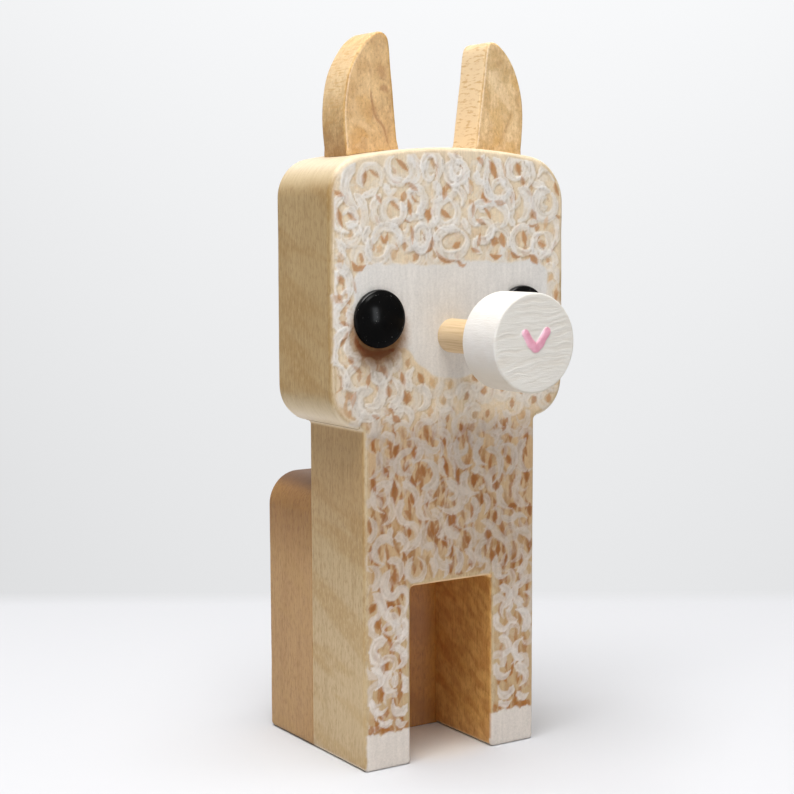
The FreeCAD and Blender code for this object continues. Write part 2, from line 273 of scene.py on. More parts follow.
class Canvas:
    """Layers hold how much of each paint is seen at a place; height is the paint's thickness in mm."""

    def __init__(self, x0, x1, z0, z1, layers):
        self.x0, self.z0 = x0, z0
        self.nx, self.nz = int((x1 - x0) / GRID) + 2, int((z1 - z0) / GRID) + 2
        self.X = x0 + np.arange(self.nx)[None, :] * GRID + np.zeros((self.nz, 1))
        self.Z = z0 + np.arange(self.nz)[:, None] * GRID + np.zeros((1, self.nx))
        self.f = {k: np.zeros((self.nz, self.nx)) for k in layers}
        self.h = np.zeros((self.nz, self.nx))
        self.tone = np.full((self.nz, self.nx), 0.5)

    def wash(self, layer, alpha, tone=None, height=0.0):
        for f in self.f.values():
            f *= 1 - alpha
        self.f[layer] += alpha
        self.h += alpha * height
        if tone is not None:
            self.tone = self.tone * (1 - alpha) + alpha * tone

    def stroke(self, layer, pts, width, alpha=0.9, thick=0.1, head=0.16, tail=0.45, tip=0.3, dry=0.3, tone=0.5, level=0.4, soft=0.12):
        pts = np.asarray(pts, float)
        if len(pts) > 2:
            pts = spline(pts, 0.28)
        seg_v = np.diff(pts, axis=0)
        seg_l = np.maximum(np.linalg.norm(seg_v, axis=1), 1e-6)
        cum = np.r_[0, np.cumsum(seg_l)]
        total = cum[-1]
        pad = width * 0.75 + 0.2
        i0 = max(0, int((pts[:, 0].min() - pad - self.x0) / GRID))
        i1 = min(self.nx, int((pts[:, 0].max() + pad - self.x0) / GRID) + 1)
        j0 = max(0, int((pts[:, 1].min() - pad - self.z0) / GRID))
        j1 = min(self.nz, int((pts[:, 1].max() + pad - self.z0) / GRID) + 1)
        if i1 <= i0 or j1 <= j0:
            return
        sl = (slice(j0, j1), slice(i0, i1))
        x, z = self.X[sl][..., None], self.Z[sl][..., None]
        px, pz = x - pts[:-1, 0], z - pts[:-1, 1]
        t = np.clip((px * seg_v[:, 0] + pz * seg_v[:, 1]) / seg_l ** 2, 0, 1)
        dx, dz = px - t * seg_v[:, 0], pz - t * seg_v[:, 1]
        d2 = dx * dx + dz * dz
        k = d2.argmin(-1)
        take = lambda a: np.take_along_axis(a, k[..., None], -1)[..., 0]
        dist = np.sqrt(take(d2))
        cross = np.sign(take(seg_v[:, 0] * dz - seg_v[:, 1] * dx))
        s = (cum[k] + take(t) * seg_l[k]) / total
        r = np.random.default_rng(rng.integers(1 << 30))
        # width along the stroke: quickly to full, then to a thin tip
        w = width / 2 * (tip + (1 - tip) * smooth(-0.02, head, s)) * (1 - (1 - tip) * smooth(1 - tail, 1.02, s))
        wob = np.interp(s, np.linspace(0, 1, 9), r.uniform(-0.17, 0.17, 9)) + 0.12 * noise2(self.X[sl], self.Z[sl], 0.55, int(r.integers(20, 29)))
        v = dist / np.maximum(w * (1 + wob), 0.05)
        edge = 1 - smooth(1 - soft - 0.04, 1 + soft, v)
        # bristle marks run along the stroke
        g = r.uniform(0, 1, (9, 7))
        a = np.clip((cross * np.minimum(v, 1.2) / 1.2 + 1) / 2 * 8, 0, 7.999)
        b = np.clip(s * 6, 0, 5.999)
        ia, ib = a.astype(int), b.astype(int)
        fa, fb = a - ia, b - ib
        streak = (g[ia, ib] * (1 - fa) + g[ia + 1, ib] * fa) * (1 - fb) + (g[ia, ib + 1] * (1 - fa) + g[ia + 1, ib + 1] * fa) * fb
        load = 1 - dry * (0.45 + 0.55 * s) * smooth(0.3, 0.75, streak)
        al = np.clip(alpha * edge * load * (1 - 0.35 * dry * (0.5 + 0.5 * noise2(self.X[sl], self.Z[sl], 0.27, int(r.integers(10, 19))))), 0, 1)
        ridge = np.exp(-(((v - 0.8) / 0.16) ** 2)) * edge
        rough = noise2(self.X[sl], self.Z[sl], 0.33, int(r.integers(1, 9)))
        hh = thick * edge * (0.5 + 0.75 * (1 - streak) + 0.25 * ridge + 0.14 * rough)
        for f in self.f.values():
            f[sl] *= 1 - al
        self.f[layer][sl] += al
        self.h[sl] = self.h[sl] * (1 - level * al) + hh
        tn = tone + 0.5 * (0.5 - streak) + 0.1 * ridge
        self.tone[sl] = self.tone[sl] * (1 - al) + al * tn

    def sample(self, field, x, z):
        u = np.clip((np.asarray(x) - self.x0) / GRID, 0, self.nx - 1.001)
        v = np.clip((np.asarray(z) - self.z0) / GRID, 0, self.nz - 1.001)
        i, j = u.astype(int), v.astype(int)
        fu, fv = u - i, v - j
        return (field[j, i] * (1 - fu) + field[j, i + 1] * fu) * (1 - fv) + (field[j + 1, i] * (1 - fu) + field[j + 1, i + 1] * fu) * fv


def blur(a, n=1):
    """Binomial blur, n passes."""
    for _ in range(n):
        a = (np.roll(a, 1, 0) + 2 * a + np.roll(a, -1, 0)) / 4
        a = (np.roll(a, 1, 1) + 2 * a + np.roll(a, -1, 1)) / 4
    return a


def ring(cx, cz, rx, a0, a1, rz=None, tilt=0.0, n=9):
    """Points of a curl: part of an ellipse, angles in degrees."""
    rz = rx if rz is None else rz
    a = np.radians(np.linspace(a0, a1, n))
    x, z = rx * np.cos(a), rz * np.sin(a)
    c, s = math.cos(math.radians(tilt)), math.sin(math.radians(tilt))
    return np.column_stack([cx + c * x - s * z, cz + s * x + c * z])


def in_polygon(poly, x, z):
    poly = np.asarray(poly, float)
    inside = np.zeros(np.shape(x), bool)
    for (ax, az), (bx, bz) in zip(poly, np.roll(poly, -1, 0)):
        hit = ((az > z) != (bz > z)) & (x < (bx - ax) * (z - az) / ((bz - az) if abs(bz - az) > 1e-9 else 1e-9) + ax)
        inside ^= hit
    return inside


def paint_face():
    c = Canvas(-27.0, 27.0, -0.6, 115.2, ("white", "tan", "rust", "cream"))
    X, Z = c.X, c.Z
    outline = board_outline(0.6)
    inset = outline - normals(outline) * 0.9
    solid = in_polygon(inset, X, Z).astype(float)
    dist = blur(solid, 5)
    # the coat stops a little short of the left edge of the trunk and of the rim of the head
    n1 = noise2(X, Z, 2.2, 1) * 0.35 + noise2(X, Z, 0.8, 2) * 0.15
    trunk_edge = smooth(-18.75, -18.25, X + n1)
    head = smooth(HEAD_Z0 - 0.5, HEAD_Z0 + 0.5, Z)
    left_head = smooth(-25.2, -24.7, X + n1)
    limit = np.where(Z > HEAD_Z0, left_head, trunk_edge)
    right = (X > 0) & (Z < HEAD_Z0)
    rim = np.where(right, smooth(-0.6, 0.0, BODY_W / 2 - X + 0.6), dist)
    above_cut = np.where((Z > CUT_H) & (np.abs(X) < BODY_W / 2 - LEG_W + 0.6), smooth(34.05, 34.45, Z + n1 * 0.5), 1.0)
    area = np.where(np.abs(X) > BODY_W / 2 - LEG_W + 0.3, np.where(right & (X > 12), 1.0, dist), dist) * limit * above_cut
    whole = in_polygon(outline + normals(outline) * 0.5, X, Z).astype(float)
    crown = smooth(88, 92, Z) * smooth(-24.9, -24.3, X + n1)
    area = np.clip(np.maximum(area, whole * crown), 0, 1)
    base = np.where(head > 0.5, 0.9, 0.66) * (1 + 0.08 * noise2(X, Z, 3.0, 3) + 0.06 * noise2(X * 3, Z, 1.2, 4))
    c.wash("cream", np.clip(area * base, 0, 1), tone=0.5 + 0.12 * noise2(X * 2.0, Z * 0.5, 1.6, 5))

    W, T, R = "white", "tan", "rust"

    # ---- curls of the head ------------------------------------------------------------
    head_white = [
        (ring(-11.4, 110.3, 2.6, 120, 300), 1.35), ([(-10.6, 107.7), (-8.9, 108.6), (-8.6, 110.4), (-9.6, 112.2)], 1.2),
        (ring(-17.4, 108.3, 2.3, 215, -30), 1.3), ([(-16.0, 106.6), (-17.6, 105.6), (-19.2, 105.2)], 1.0),
        ([(-21.0, 110.7), (-22.3, 109.0), (-22.9, 106.8), (-22.0, 104.4), (-20.4, 103.0)], 1.45),
        ([(-23.2, 105.2), (-24.9, 103.6), (-25.0, 101.4), (-24.0, 99.4), (-22.2, 98.7)], 1.3),
        (ring(-22.0, 101.4, 1.3, 150, -120), 1.1),
        ([(-20.7, 105.4), (-19.3, 103.8), (-18.8, 101.6), (-19.4, 99.3), (-20.9, 98.2)], 1.3),
        (ring(-12.8, 102.6, 2.25, 60, 400), 1.3),
        ([(-15.6, 105.3), (-16.8, 103.6), (-16.7, 101.4), (-15.3, 100.1)], 1.2),
        (ring(-14.0, 96.9, 2.9, 178, 0), 1.35),
        (ring(-6.9, 97.8, 1.2, 40, 400, rz=1.9), 1.7), (ring(-6.8, 97.8, 1.7, 150, -170, rz=2.4), 1.1),
        ([(-9.4, 112.7), (-7.9, 111.4), (-6.9, 109.6), (-7.6, 107.9), (-9.2, 107.2)], 1.2),
        ([(-6.4, 109.6), (-6.1, 111.8), (-4.4, 113.0), (-2.9, 111.8), (-2.8, 109.5), (-3.6, 107.9)], 1.2),
        (ring(-4.9, 109.9, 1.1, 100, 330, rz=1.5), 1.1),
        (ring(1.0, 109.9, 1.9, 130, 440), 1.5), (ring(1.1, 109.5, 0.9, 40, 330), 1.3),
        ([(-0.6, 112.9), (0.6, 112.2), (2.3, 111.6)], 1.2),
        (ring(-1.1, 102.2, 2.45, 80, 425), 1.35),
        ([(-4.0, 107.6), (-2.9, 106.4), (-3.0, 105.0), (-4.4, 104.3)], 1.1),
        ([(0.0, 107.2), (1.5, 106.6), (2.6, 105.2), (2.3, 103.6)], 1.2),
        ([(1.4, 99.1), (-1.0, 99.2), (-3.0, 98.0), (-3.2, 96.1), (-1.6, 94.7), (0.9, 94.5), (3.0, 95.8), (3.4, 97.6), (2.2, 98.8)], 1.4),
        ([(5.6, 109.8), (5.9, 108.2), (7.6, 107.9)], 1.1),
        ([(7.2, 112.8), (6.4, 111.2), (5.6, 109.4)], 0.9), ([(7.9, 112.4), (8.1, 110.6), (7.6, 108.6), (8.0, 106.4)], 1.1),
        ([(9.6, 112.2), (10.9, 110.9), (11.3, 108.9), (12.7, 107.0), (13.9, 105.2), (14.1, 103.4)], 1.25),
        ([(8.0, 107.8), (8.2, 105.8), (9.8, 104.7), (11.9, 105.0), (13.2, 106.6)], 1.3),
        (ring(10.7, 106.9, 1.3, 200, 20), 0.9),
        (ring(14.8, 110.5, 1.9, 60, 300), 1.25), ([(14.9, 108.6), (16.4, 108.9), (16.9, 110.6), (16.2, 112.2)], 1.2),
        ([(16.8, 112.3), (18.2, 111.0), (18.4, 109.1), (17.4, 107.2)], 1.3),
        (ring(21.6, 103.9, 2.5, 70, 410, rz=2.6), 1.5), (ring(21.4, 104.2, 1.0, 60, 300), 0.9),
        ([(20.0, 109.2), (21.2, 110.6), (23.0, 110.2), (24.0, 108.3)], 1.2),
        ([(15.4, 106.7), (17.2, 105.6), (17.7, 103.4), (16.8, 101.4), (15.4, 100.7)], 1.6),
        ([(14.2, 103.2), (13.4, 101.6), (14.2, 99.9)], 1.1),
        (ring(20.9, 96.4, 2.1, 90, 430), 1.3),
        ([(17.6, 99.5), (15.4, 99.4), (13.9, 97.9), (14.2, 95.9), (16.0, 94.7), (18.0, 95.2), (18.9, 97.0)], 1.3),
        (ring(7.2, 99.0, 1.9, 150, -140), 1.2), ([(5.6, 97.6), (5.4, 95.9), (6.8, 94.9)], 1.1),
        ([(7.7, 103.6), (5.8, 103.9), (4.4, 102.5), (4.6, 100.7), (6.3, 99.9)], 1.2),
        ([(7.9, 103.9), (10.2, 104.0), (12.1, 102.7), (12.4, 100.7), (11.2, 99.6)], 1.3),
        ([(8.2, 97.2), (8.9, 99.0), (11.0, 99.6), (12.8, 98.4), (12.9, 96.2)], 1.2),
        ([(23.6, 101.4), (24.7, 99.7), (24.5, 97.4), (23.4, 95.6)], 1.2),
        ([(-9.6, 106.0), (-8.0, 106.6), (-6.4, 105.6), (-6.2, 103.6), (-7.6, 102.2)], 1.25),
        ([(-9.8, 101.0), (-8.0, 101.6), (-6.4, 101.4)], 1.1),
        ([(-17.8, 99.7), (-18.7, 98.0), (-18.0, 96.2)], 1.1),
        ([(-24.6, 97.6), (-23.6, 96.2), (-23.6, 94.2)], 1.2),
        ([(2.4, 101.2), (3.3, 99.8), (4.2, 98.4)], 1.1), ([(4.0, 109.8), (3.2, 107.9), (4.4, 106.0)], 1.1),
        ([(-12.2, 106.3), (-13.8, 106.0), (-14.4, 107.2)], 1.0),
        ([(18.8, 107.4), (20.3, 107.6), (21.6, 106.9)], 1.1),
    ]
    head_under = [
        # rust and tan showing round and inside the curls: points, width, paint
        ([(-12.1, 111.8), (-10.9, 110.9), (-9.5, 109.6)], 0.95, R), ([(-13.2, 108.6), (-12.2, 107.7), (-11.2, 107.6)], 0.7, R),
        ([(-18.6, 109.6), (-18.9, 108.2), (-19.1, 107.0)], 1.1, R), ([(-17.4, 109.6), (-16.3, 108.8)], 0.6, R),
        ([(-24.6, 105.9), (-23.5, 105.4)], 0.9, R), ([(-24.3, 103.0), (-24.0, 101.0), (-23.4, 99.6)], 1.2, R),
        ([(-21.9, 102.0), (-21.0, 101.3)], 0.9, R), ([(-13.1, 103.9), (-11.8, 102.9)], 0.7, R),
        ([(-9.6, 104.6), (-9.2, 103.0), (-9.0, 101.5)], 0.9, R), ([(-5.8, 102.8), (-5.2, 101.6), (-5.3, 100.6)], 1.3, R),
        ([(-9.0, 107.3), (-8.0, 106.6)], 1.0, R), ([(-8.5, 105.2), (-7.6, 104.4)], 0.6, R),
        ([(-15.4, 98.4), (-14.7, 97.0), (-13.9, 98.8)], 0.8, R), ([(-8.9, 99.9), (-8.7, 98.0), (-8.8, 96.6)], 0.8, R),
        ([(-4.4, 97.8), (-4.7, 96.0), (-5.8, 95.0)], 1.1, R), ([(-3.5, 95.2), (-2.3, 93.9), (-0.6, 93.4), (0.7, 93.5)], 0.9, R),
        ([(1.1, 94.2), (1.8, 92.9), (2.5, 92.5), (3.3, 92.9)], 0.75, R), ([(0.2, 96.0), (1.0, 96.2), (1.9, 96.8)], 1.1, R),
        ([(-2.3, 102.9), (-1.4, 101.9), (-0.3, 101.4)], 1.0, R), ([(-3.5, 111.9), (-3.2, 110.4), (-3.7, 108.6)], 0.6, R),
        ([(-5.3, 112.8), (-4.7, 112.5)], 0.7, R), ([(-1.6, 106.5), (-1.8, 105.1)], 1.1, R), ([(0.7, 112.6), (1.1, 112.4)], 0.6, R),
        ([(3.7, 108.6), (4.3, 107.2), (4.0, 105.5)], 1.1, T), ([(6.0, 111.9), (6.5, 111.3)], 1.1, R),
        ([(8.4, 111.8), (9.3, 110.3), (9.8, 108.6)], 1.4, R), ([(11.2, 111.6), (12.0, 110.0), (12.1, 108.7)], 0.8, T),
        ([(15.0, 111.0), (15.4, 109.8)], 1.2, R), ([(16.0, 108.6), (16.3, 107.6)], 0.8, R),
        ([(7.0, 106.0), (7.4, 104.7), (9.0, 104.3)], 0.9, R), ([(10.2, 104.3), (11.6, 104.1)], 1.1, R),
        ([(7.0, 103.3), (8.2, 102.2), (8.8, 100.9)], 0.7, R), ([(4.8, 103.6), (4.7, 102.0)], 0.8, R), ([(6.0, 100.7), (7.2, 100.2)], 0.8, R),
        ([(18.4, 105.8), (18.5, 103.6), (18.9, 101.6)], 0.7, R), ([(18.7, 102.3), (19.1, 101.6)], 1.6, R),
        ([(24.1, 107.6), (24.7, 106.0)], 0.9, R), ([(24.6, 101.7), (25.3, 101.6)], 0.7, R),
        ([(9.4, 97.0), (10.0, 96.8)], 1.7, R), ([(11.4, 97.9), (11.8, 96.4)], 1.5, R), ([(16.4, 98.4), (16.8, 96.6)], 1.1, R),
        ([(20.4, 96.5), (21.3, 96.2)], 0.9, R), ([(4.8, 95.5), (5.8, 95.2)], 0.8, R), ([(8.6, 94.6), (9.8, 94.0), (11.4, 94.3)], 0.9, R),
        ([(13.4, 95.1), (14.4, 94.1), (15.8, 94.0)], 0.9, R), ([(18.0, 94.2), (19.2, 93.2), (19.7, 92.6)], 1.5, R),
        ([(24.2, 96.2), (23.4, 94.9)], 0.7, R), ([(-21.5, 93.6), (-20.4, 92.3), (-18.7, 92.9)], 1.2, R), ([(-24.0, 94.8), (-23.6, 93.6)], 0.9, T),
        ([(-16.2, 105.0), (-15.6, 104.2)], 0.8, R), ([(5.9, 96.5), (6.3, 97.9)], 0.8, R), ([(-10.4, 100.8), (-9.6, 100.6)], 0.6, R),
        ([(17.5, 106.0), (18.0, 105.6)], 0.7, R), ([(22.0, 101.0), (21.6, 99.6)], 1.0, T), ([(17.2, 100.0), (18.6, 99.7), (19.8, 100.2)], 0.5, R),
    ]
    # ---- curls of the trunk ------------------------------------------------------------
    trunk_white = [
        ([(-16.2, 59.3), (-15.9, 57.2), (-16.6, 55.4), (-18.1, 54.4)], 1.25),
        ([(-8.9, 59.0), (-11.2, 58.3), (-12.2, 56.3), (-11.1, 54.9), (-9.0, 54.5)], 1.35),
        ([(-9.9, 60.9), (-8.2, 61.0), (-7.0, 59.3), (-7.4, 57.6), (-9.0, 57.0)], 1.15),
        ([(-7.0, 57.0), (-4.7, 56.3), (-3.5, 54.1), (-4.5, 52.2), (-6.6, 51.7)], 1.4),
        ([(-13.4, 53.3), (-15.7, 53.1), (-17.3, 51.2), (-16.8, 49.0), (-14.9, 47.9)], 1.2),
        ([(-11.0, 53.2), (-9.0, 52.0), (-7.8, 50.0), (-8.6, 48.4)], 1.25),
        ([(-14.1, 50.7), (-13.2, 48.7), (-13.7, 46.4), (-15.3, 45.7)], 1.4),
        ([(-10.8, 50.0), (-11.8, 48.0), (-11.2, 46.2), (-8.4, 45.6)], 1.35),
        ([(-6.8, 50.2), (-7.4, 48.3), (-6.7, 46.4), (-5.0, 45.8)], 1.3),
        ([(-1.1, 52.6), (0.9, 51.1), (2.3, 49.1), (1.5, 47.3), (-0.8, 46.9), (-3.1, 48.0)], 1.45),
        ([(-4.6, 47.4), (-2.7, 46.1), (-2.3, 44.1), (-3.4, 42.6)], 1.3),
        ([(-5.0, 45.4), (-6.3, 43.7), (-6.4, 41.6), (-4.4, 40.4)], 1.5),
        ([(-13.5, 43.3), (-16.0, 42.8), (-17.1, 41.0), (-16.2, 39.0), (-14.9, 38.4)], 1.5),
        ([(-13.4, 45.0), (-13.9, 43.2), (-13.0, 41.6)], 1.2),
        ([(-12.6, 43.1), (-10.9, 42.7), (-10.2, 41.2), (-11.4, 40.3)], 1.3),
        ([(-10.6, 45.2), (-8.4, 44.8), (-7.5, 43.0), (-8.2, 41.1), (-9.9, 40.4)], 1.4),
        ([(-18.3, 47.5), (-17.2, 46.2), (-17.0, 44.5), (-18.5, 42.9)], 1.2),
        ([(-18.2, 38.4), (-16.7, 37.6), (-16.3, 35.6), (-17.5, 33.8)], 1.35),
        ([(-14.2, 38.9), (-12.3, 38.7), (-11.3, 37.0), (-11.7, 35.0)], 1.45),
        ([(-13.8, 37.2), (-15.0, 35.0), (-14.4, 32.7), (-12.7, 32.3), (-11.5, 33.4), (-10.2, 32.9), (-9.9, 31.0), (-10.6, 29.0)], 1.4),
        ([(-8.9, 39.0), (-9.9, 37.0), (-9.4, 35.2), (-7.6, 34.6), (-6.3, 35.7), (-6.2, 37.5), (-7.6, 39.0)], 1.35),
        ([(-3.3, 40.1), (-3.3, 38.1), (-1.9, 36.7), (-0.1, 37.3)], 1.5),
        ([(0.5, 40.1), (1.7, 38.5), (2.0, 36.5), (0.9, 35.1)], 1.35),
        ([(-4.7, 38.4), (-3.8, 36.6), (-4.0, 34.8)], 1.2),
        ([(2.4, 43.1), (4.6, 42.6), (5.1, 40.8), (3.9, 39.5)], 1.3),
        ([(-2.9, 62.5), (-0.8, 60.9), (-0.5, 58.4), (0.3, 56.2), (0.7, 53.2)], 1.2),
        ([(1.1, 60.3), (1.2, 57.2), (2.7, 55.0), (4.7, 55.3)], 1.3),
        ([(7.2, 60.0), (5.6, 58.3), (5.9, 56.0), (8.0, 54.9)], 1.45),
        ([(8.0, 57.9), (10.3, 57.2), (11.3, 55.0), (10.9, 52.6), (9.5, 51.3)], 1.3),
        ([(4.5, 54.1), (6.9, 53.7), (8.6, 51.9), (9.3, 49.9)], 1.3),
        ([(3.2, 54.1), (2.8, 51.6), (4.2, 49.9), (6.3, 49.8)], 1.35),
        ([(11.6, 58.6), (13.8, 58.1), (14.6, 56.0), (14.0, 54.0), (12.7, 52.8)], 1.4),
        ([(17.2, 59.2), (15.6, 57.1), (15.8, 54.6), (17.4, 53.1), (18.9, 53.3)], 1.6),
        ([(14.9, 50.6), (14.9, 48.4), (16.3, 46.8), (18.5, 46.2)], 1.5),
        ([(6.8, 44.3), (9.0, 43.4), (10.3, 41.6), (12.4, 39.9), (13.5, 37.6), (12.6, 35.3)], 1.35),
        ([(8.2, 40.7), (6.3, 39.5), (6.2, 37.4), (8.2, 36.4)], 1.45),
        ([(10.3, 37.2), (10.1, 34.6), (11.4, 33.1), (13.2, 33.4)], 1.4),
        ([(14.8, 41.6), (16.9, 41.2), (18.4, 39.8), (18.3, 38.2)], 1.35),
        ([(15.8, 38.0), (17.2, 36.6), (17.0, 34.6), (15.4, 33.6)], 1.3),
        ([(-6.5, 60.6), (-5.3, 59.0), (-3.3, 58.7), (-2.6, 60.2)], 1.15),
        ([(11.4, 50.6), (11.0, 48.4), (12.3, 46.6), (14.0, 46.0)], 1.35),
        ([(4.7, 49.0), (5.6, 47.0), (5.0, 44.9), (3.3, 44.2)], 1.25),
        ([(7.4, 49.4), (8.4, 47.6), (7.6, 45.6)], 1.2),
        ([(-0.9, 46.0), (-1.2, 43.8), (0.2, 42.2), (1.6, 42.4)], 1.3),
        ([(11.6, 44.8), (13.6, 43.9), (15.6, 44.6), (17.6, 43.8)], 1.3),
        ([(12.6, 62.6), (13.4, 61.0), (15.2, 60.4), (16.6, 61.4)], 1.25),
        ([(-13.6, 57.4), (-12.9, 55.6), (-13.8, 53.9)], 1.1),
        ([(-15.2, 62.4), (-13.4, 61.8), (-12.6, 60.2)], 1.2),
        ([(3.1, 39.2), (4.6, 38.0), (4.8, 36.2), (3.4, 35.0)], 1.3),
        ([(-2.0, 56.9), (-2.4, 55.0), (-1.2, 53.5)], 1.1), ([(8.9, 61.2), (10.2, 60.2), (10.0, 58.8)], 1.1),
    ]
    trunk_under = [
        ([(-12.8, 53.8), (-12.7, 51.6), (-12.7, 49.4)], 1.4, R), ([(-18.1, 47.0), (-18.2, 45.6), (-18.0, 44.4)], 1.2, R),
        ([(-17.8, 41.6), (-17.7, 39.4)], 1.0, R), ([(-15.6, 48.2), (-15.3, 46.9)], 1.2, R), ([(-6.5, 55.6), (-6.2, 54.3)], 1.3, R),
        ([(4.9, 53.6), (5.0, 52.2), (5.0, 50.9)], 1.5, R), ([(1.6, 54.3), (1.5, 52.3)], 1.0, R), ([(-1.5, 55.9), (-1.2, 54.3)], 1.0, R),
        ([(-2.6, 60.9), (-2.2, 59.0), (-2.7, 57.6)], 1.1, R), ([(1.8, 63.0), (2.8, 62.2), (3.2, 62.9)], 1.5, R),
        ([(12.6, 63.0), (12.0, 61.6)], 1.3, R), ([(10.3, 51.2), (10.2, 50.4)], 1.3, R), ([(8.6, 48.8), (8.6, 46.8)], 1.3, R),
        ([(6.9, 49.0), (6.8, 47.7)], 1.0, R), ([(13.6, 46.4), (14.6, 46.4)], 1.2, R), ([(18.3, 46.2), (18.4, 44.6)], 1.2, R),
        ([(10.1, 45.4), (9.8, 44.4)], 1.2, R), ([(8.3, 42.2), (8.6, 40.8)], 1.3, R), ([(9.2, 38.0), (9.2, 36.8)], 1.3, R),
        ([(18.5, 39.0), (18.2, 37.6)], 1.0, R), ([(12.9, 56.0), (13.5, 55.0)], 1.2, R), ([(17.4, 60.0), (17.0, 59.2)], 1.0, R),
        ([(17.6, 52.6), (17.4, 51.2)], 0.9, R), ([(-4.4, 44.9), (-4.1, 43.2)], 1.0, R), ([(-1.8, 41.5), (-1.5, 40.8)], 1.2, R),
        ([(-0.4, 39.8), (-0.3, 38.4)], 1.1, R), ([(-0.8, 36.4), (-0.4, 35.6)], 1.3, R), ([(1.3, 34.9), (2.2, 34.7)], 0.9, R),
        ([(3.5, 41.3), (3.8, 40.6)], 1.2, R), ([(4.2, 36.9), (4.4, 36.2)], 1.0, R), ([(-9.6, 44.2), (-9.6, 43.4)], 0.9, R),
        ([(-11.2, 37.0), (-11.0, 35.6)], 1.1, R), ([(-12.7, 36.6), (-12.6, 35.0)], 1.1, R), ([(-13.9, 31.0), (-13.2, 30.8)], 1.6, R),
        ([(-17.3, 30.8), (-17.7, 30.2)], 1.2, R), ([(-8.3, 57.7), (-8.6, 59.0)], 0.9, R), ([(-12.0, 59.9), (-12.4, 58.4)], 1.2, R),
        ([(-8.8, 53.7), (-8.2, 52.6)], 1.0, R), ([(-5.8, 49.9), (-5.6, 48.7)], 0.8, R), ([(-10.2, 47.4), (-9.6, 46.6)], 1.0, R),
        ([(0.3, 45.8), (0.3, 44.4)], 1.2, R), ([(10.9, 38.8), (10.8, 37.8)], 1.1, R), ([(12.6, 36.8), (12.4, 35.8)], 0.9, R),
        ([(15.9, 40.4), (16.3, 39.4)], 0.9, T), ([(-14.9, 55.9), (-14.3, 54.9)], 1.4, R), ([(-17.2, 53.4), (-17.0, 52.0)], 0.9, R),
        ([(-8.9, 50.6), (-8.6, 49.4)], 0.8, R), ([(13.2, 53.0), (13.6, 51.6)], 0.9, T), ([(4.0, 58.9), (4.3, 57.4)], 1.0, T),
    ]
    # ---- curls of the cheek beside the eye, and of the legs ------------------------------
    cheek_white = [
        ([(-24.9, 91.8), (-25.6, 89.4), (-25.2, 86.8), (-23.9, 85.4)], 1.6), ([(-24.6, 93.0), (-22.6, 91.6), (-21.9, 89.4), (-22.2, 87.2)], 1.5),
        ([(-22.6, 86.8), (-24.6, 85.2), (-25.0, 83.2), (-23.6, 81.6)], 1.4), ([(-22.4, 85.0), (-21.9, 83.2), (-22.4, 81.4)], 1.2),
        ([(-22.0, 81.6), (-24.0, 80.6), (-25.2, 78.6), (-25.2, 76.2), (-23.6, 75.0)], 1.5), ([(-22.2, 80.2), (-22.6, 78.4), (-21.6, 77.0), (-19.8, 76.6)], 1.4),
        ([(-20.0, 77.0), (-20.6, 75.4), (-22.6, 73.4), (-22.2, 71.4), (-20.2, 70.8)], 1.4),
        ([(-24.4, 75.2), (-23.0, 73.2), (-23.2, 71.0)], 1.2), ([(-18.6, 76.2), (-17.2, 75.0), (-17.2, 73.0), (-16.0, 71.4)], 1.3),
        ([(-14.4, 76.0), (-13.6, 74.4), (-14.2, 72.6), (-15.6, 71.6)], 1.3), ([(-12.4, 77.2), (-11.6, 75.4), (-12.6, 73.6)], 1.4),
        ([(-16.6, 73.4), (-15.2, 71.4), (-15.4, 69.2), (-17.2, 67.6), (-18.6, 67.8)], 1.9),
        ([(-17.6, 70.4), (-19.6, 70.2), (-20.6, 68.4), (-19.9, 66.4), (-17.8, 65.6), (-16.2, 65.9)], 1.9),
        ([(-13.0, 72.4), (-11.4, 70.6), (-11.8, 68.4), (-13.6, 67.4)], 1.5), ([(-8.6, 74.0), (-9.8, 72.2), (-9.2, 70.2)], 1.4),
        ([(-12.6, 66.6), (-10.6, 66.8), (-9.0, 65.4), (-9.4, 63.6)], 1.4), ([(-7.4, 70.6), (-5.8, 69.4), (-5.6, 67.4), (-7.2, 66.4)], 1.4),
    ]
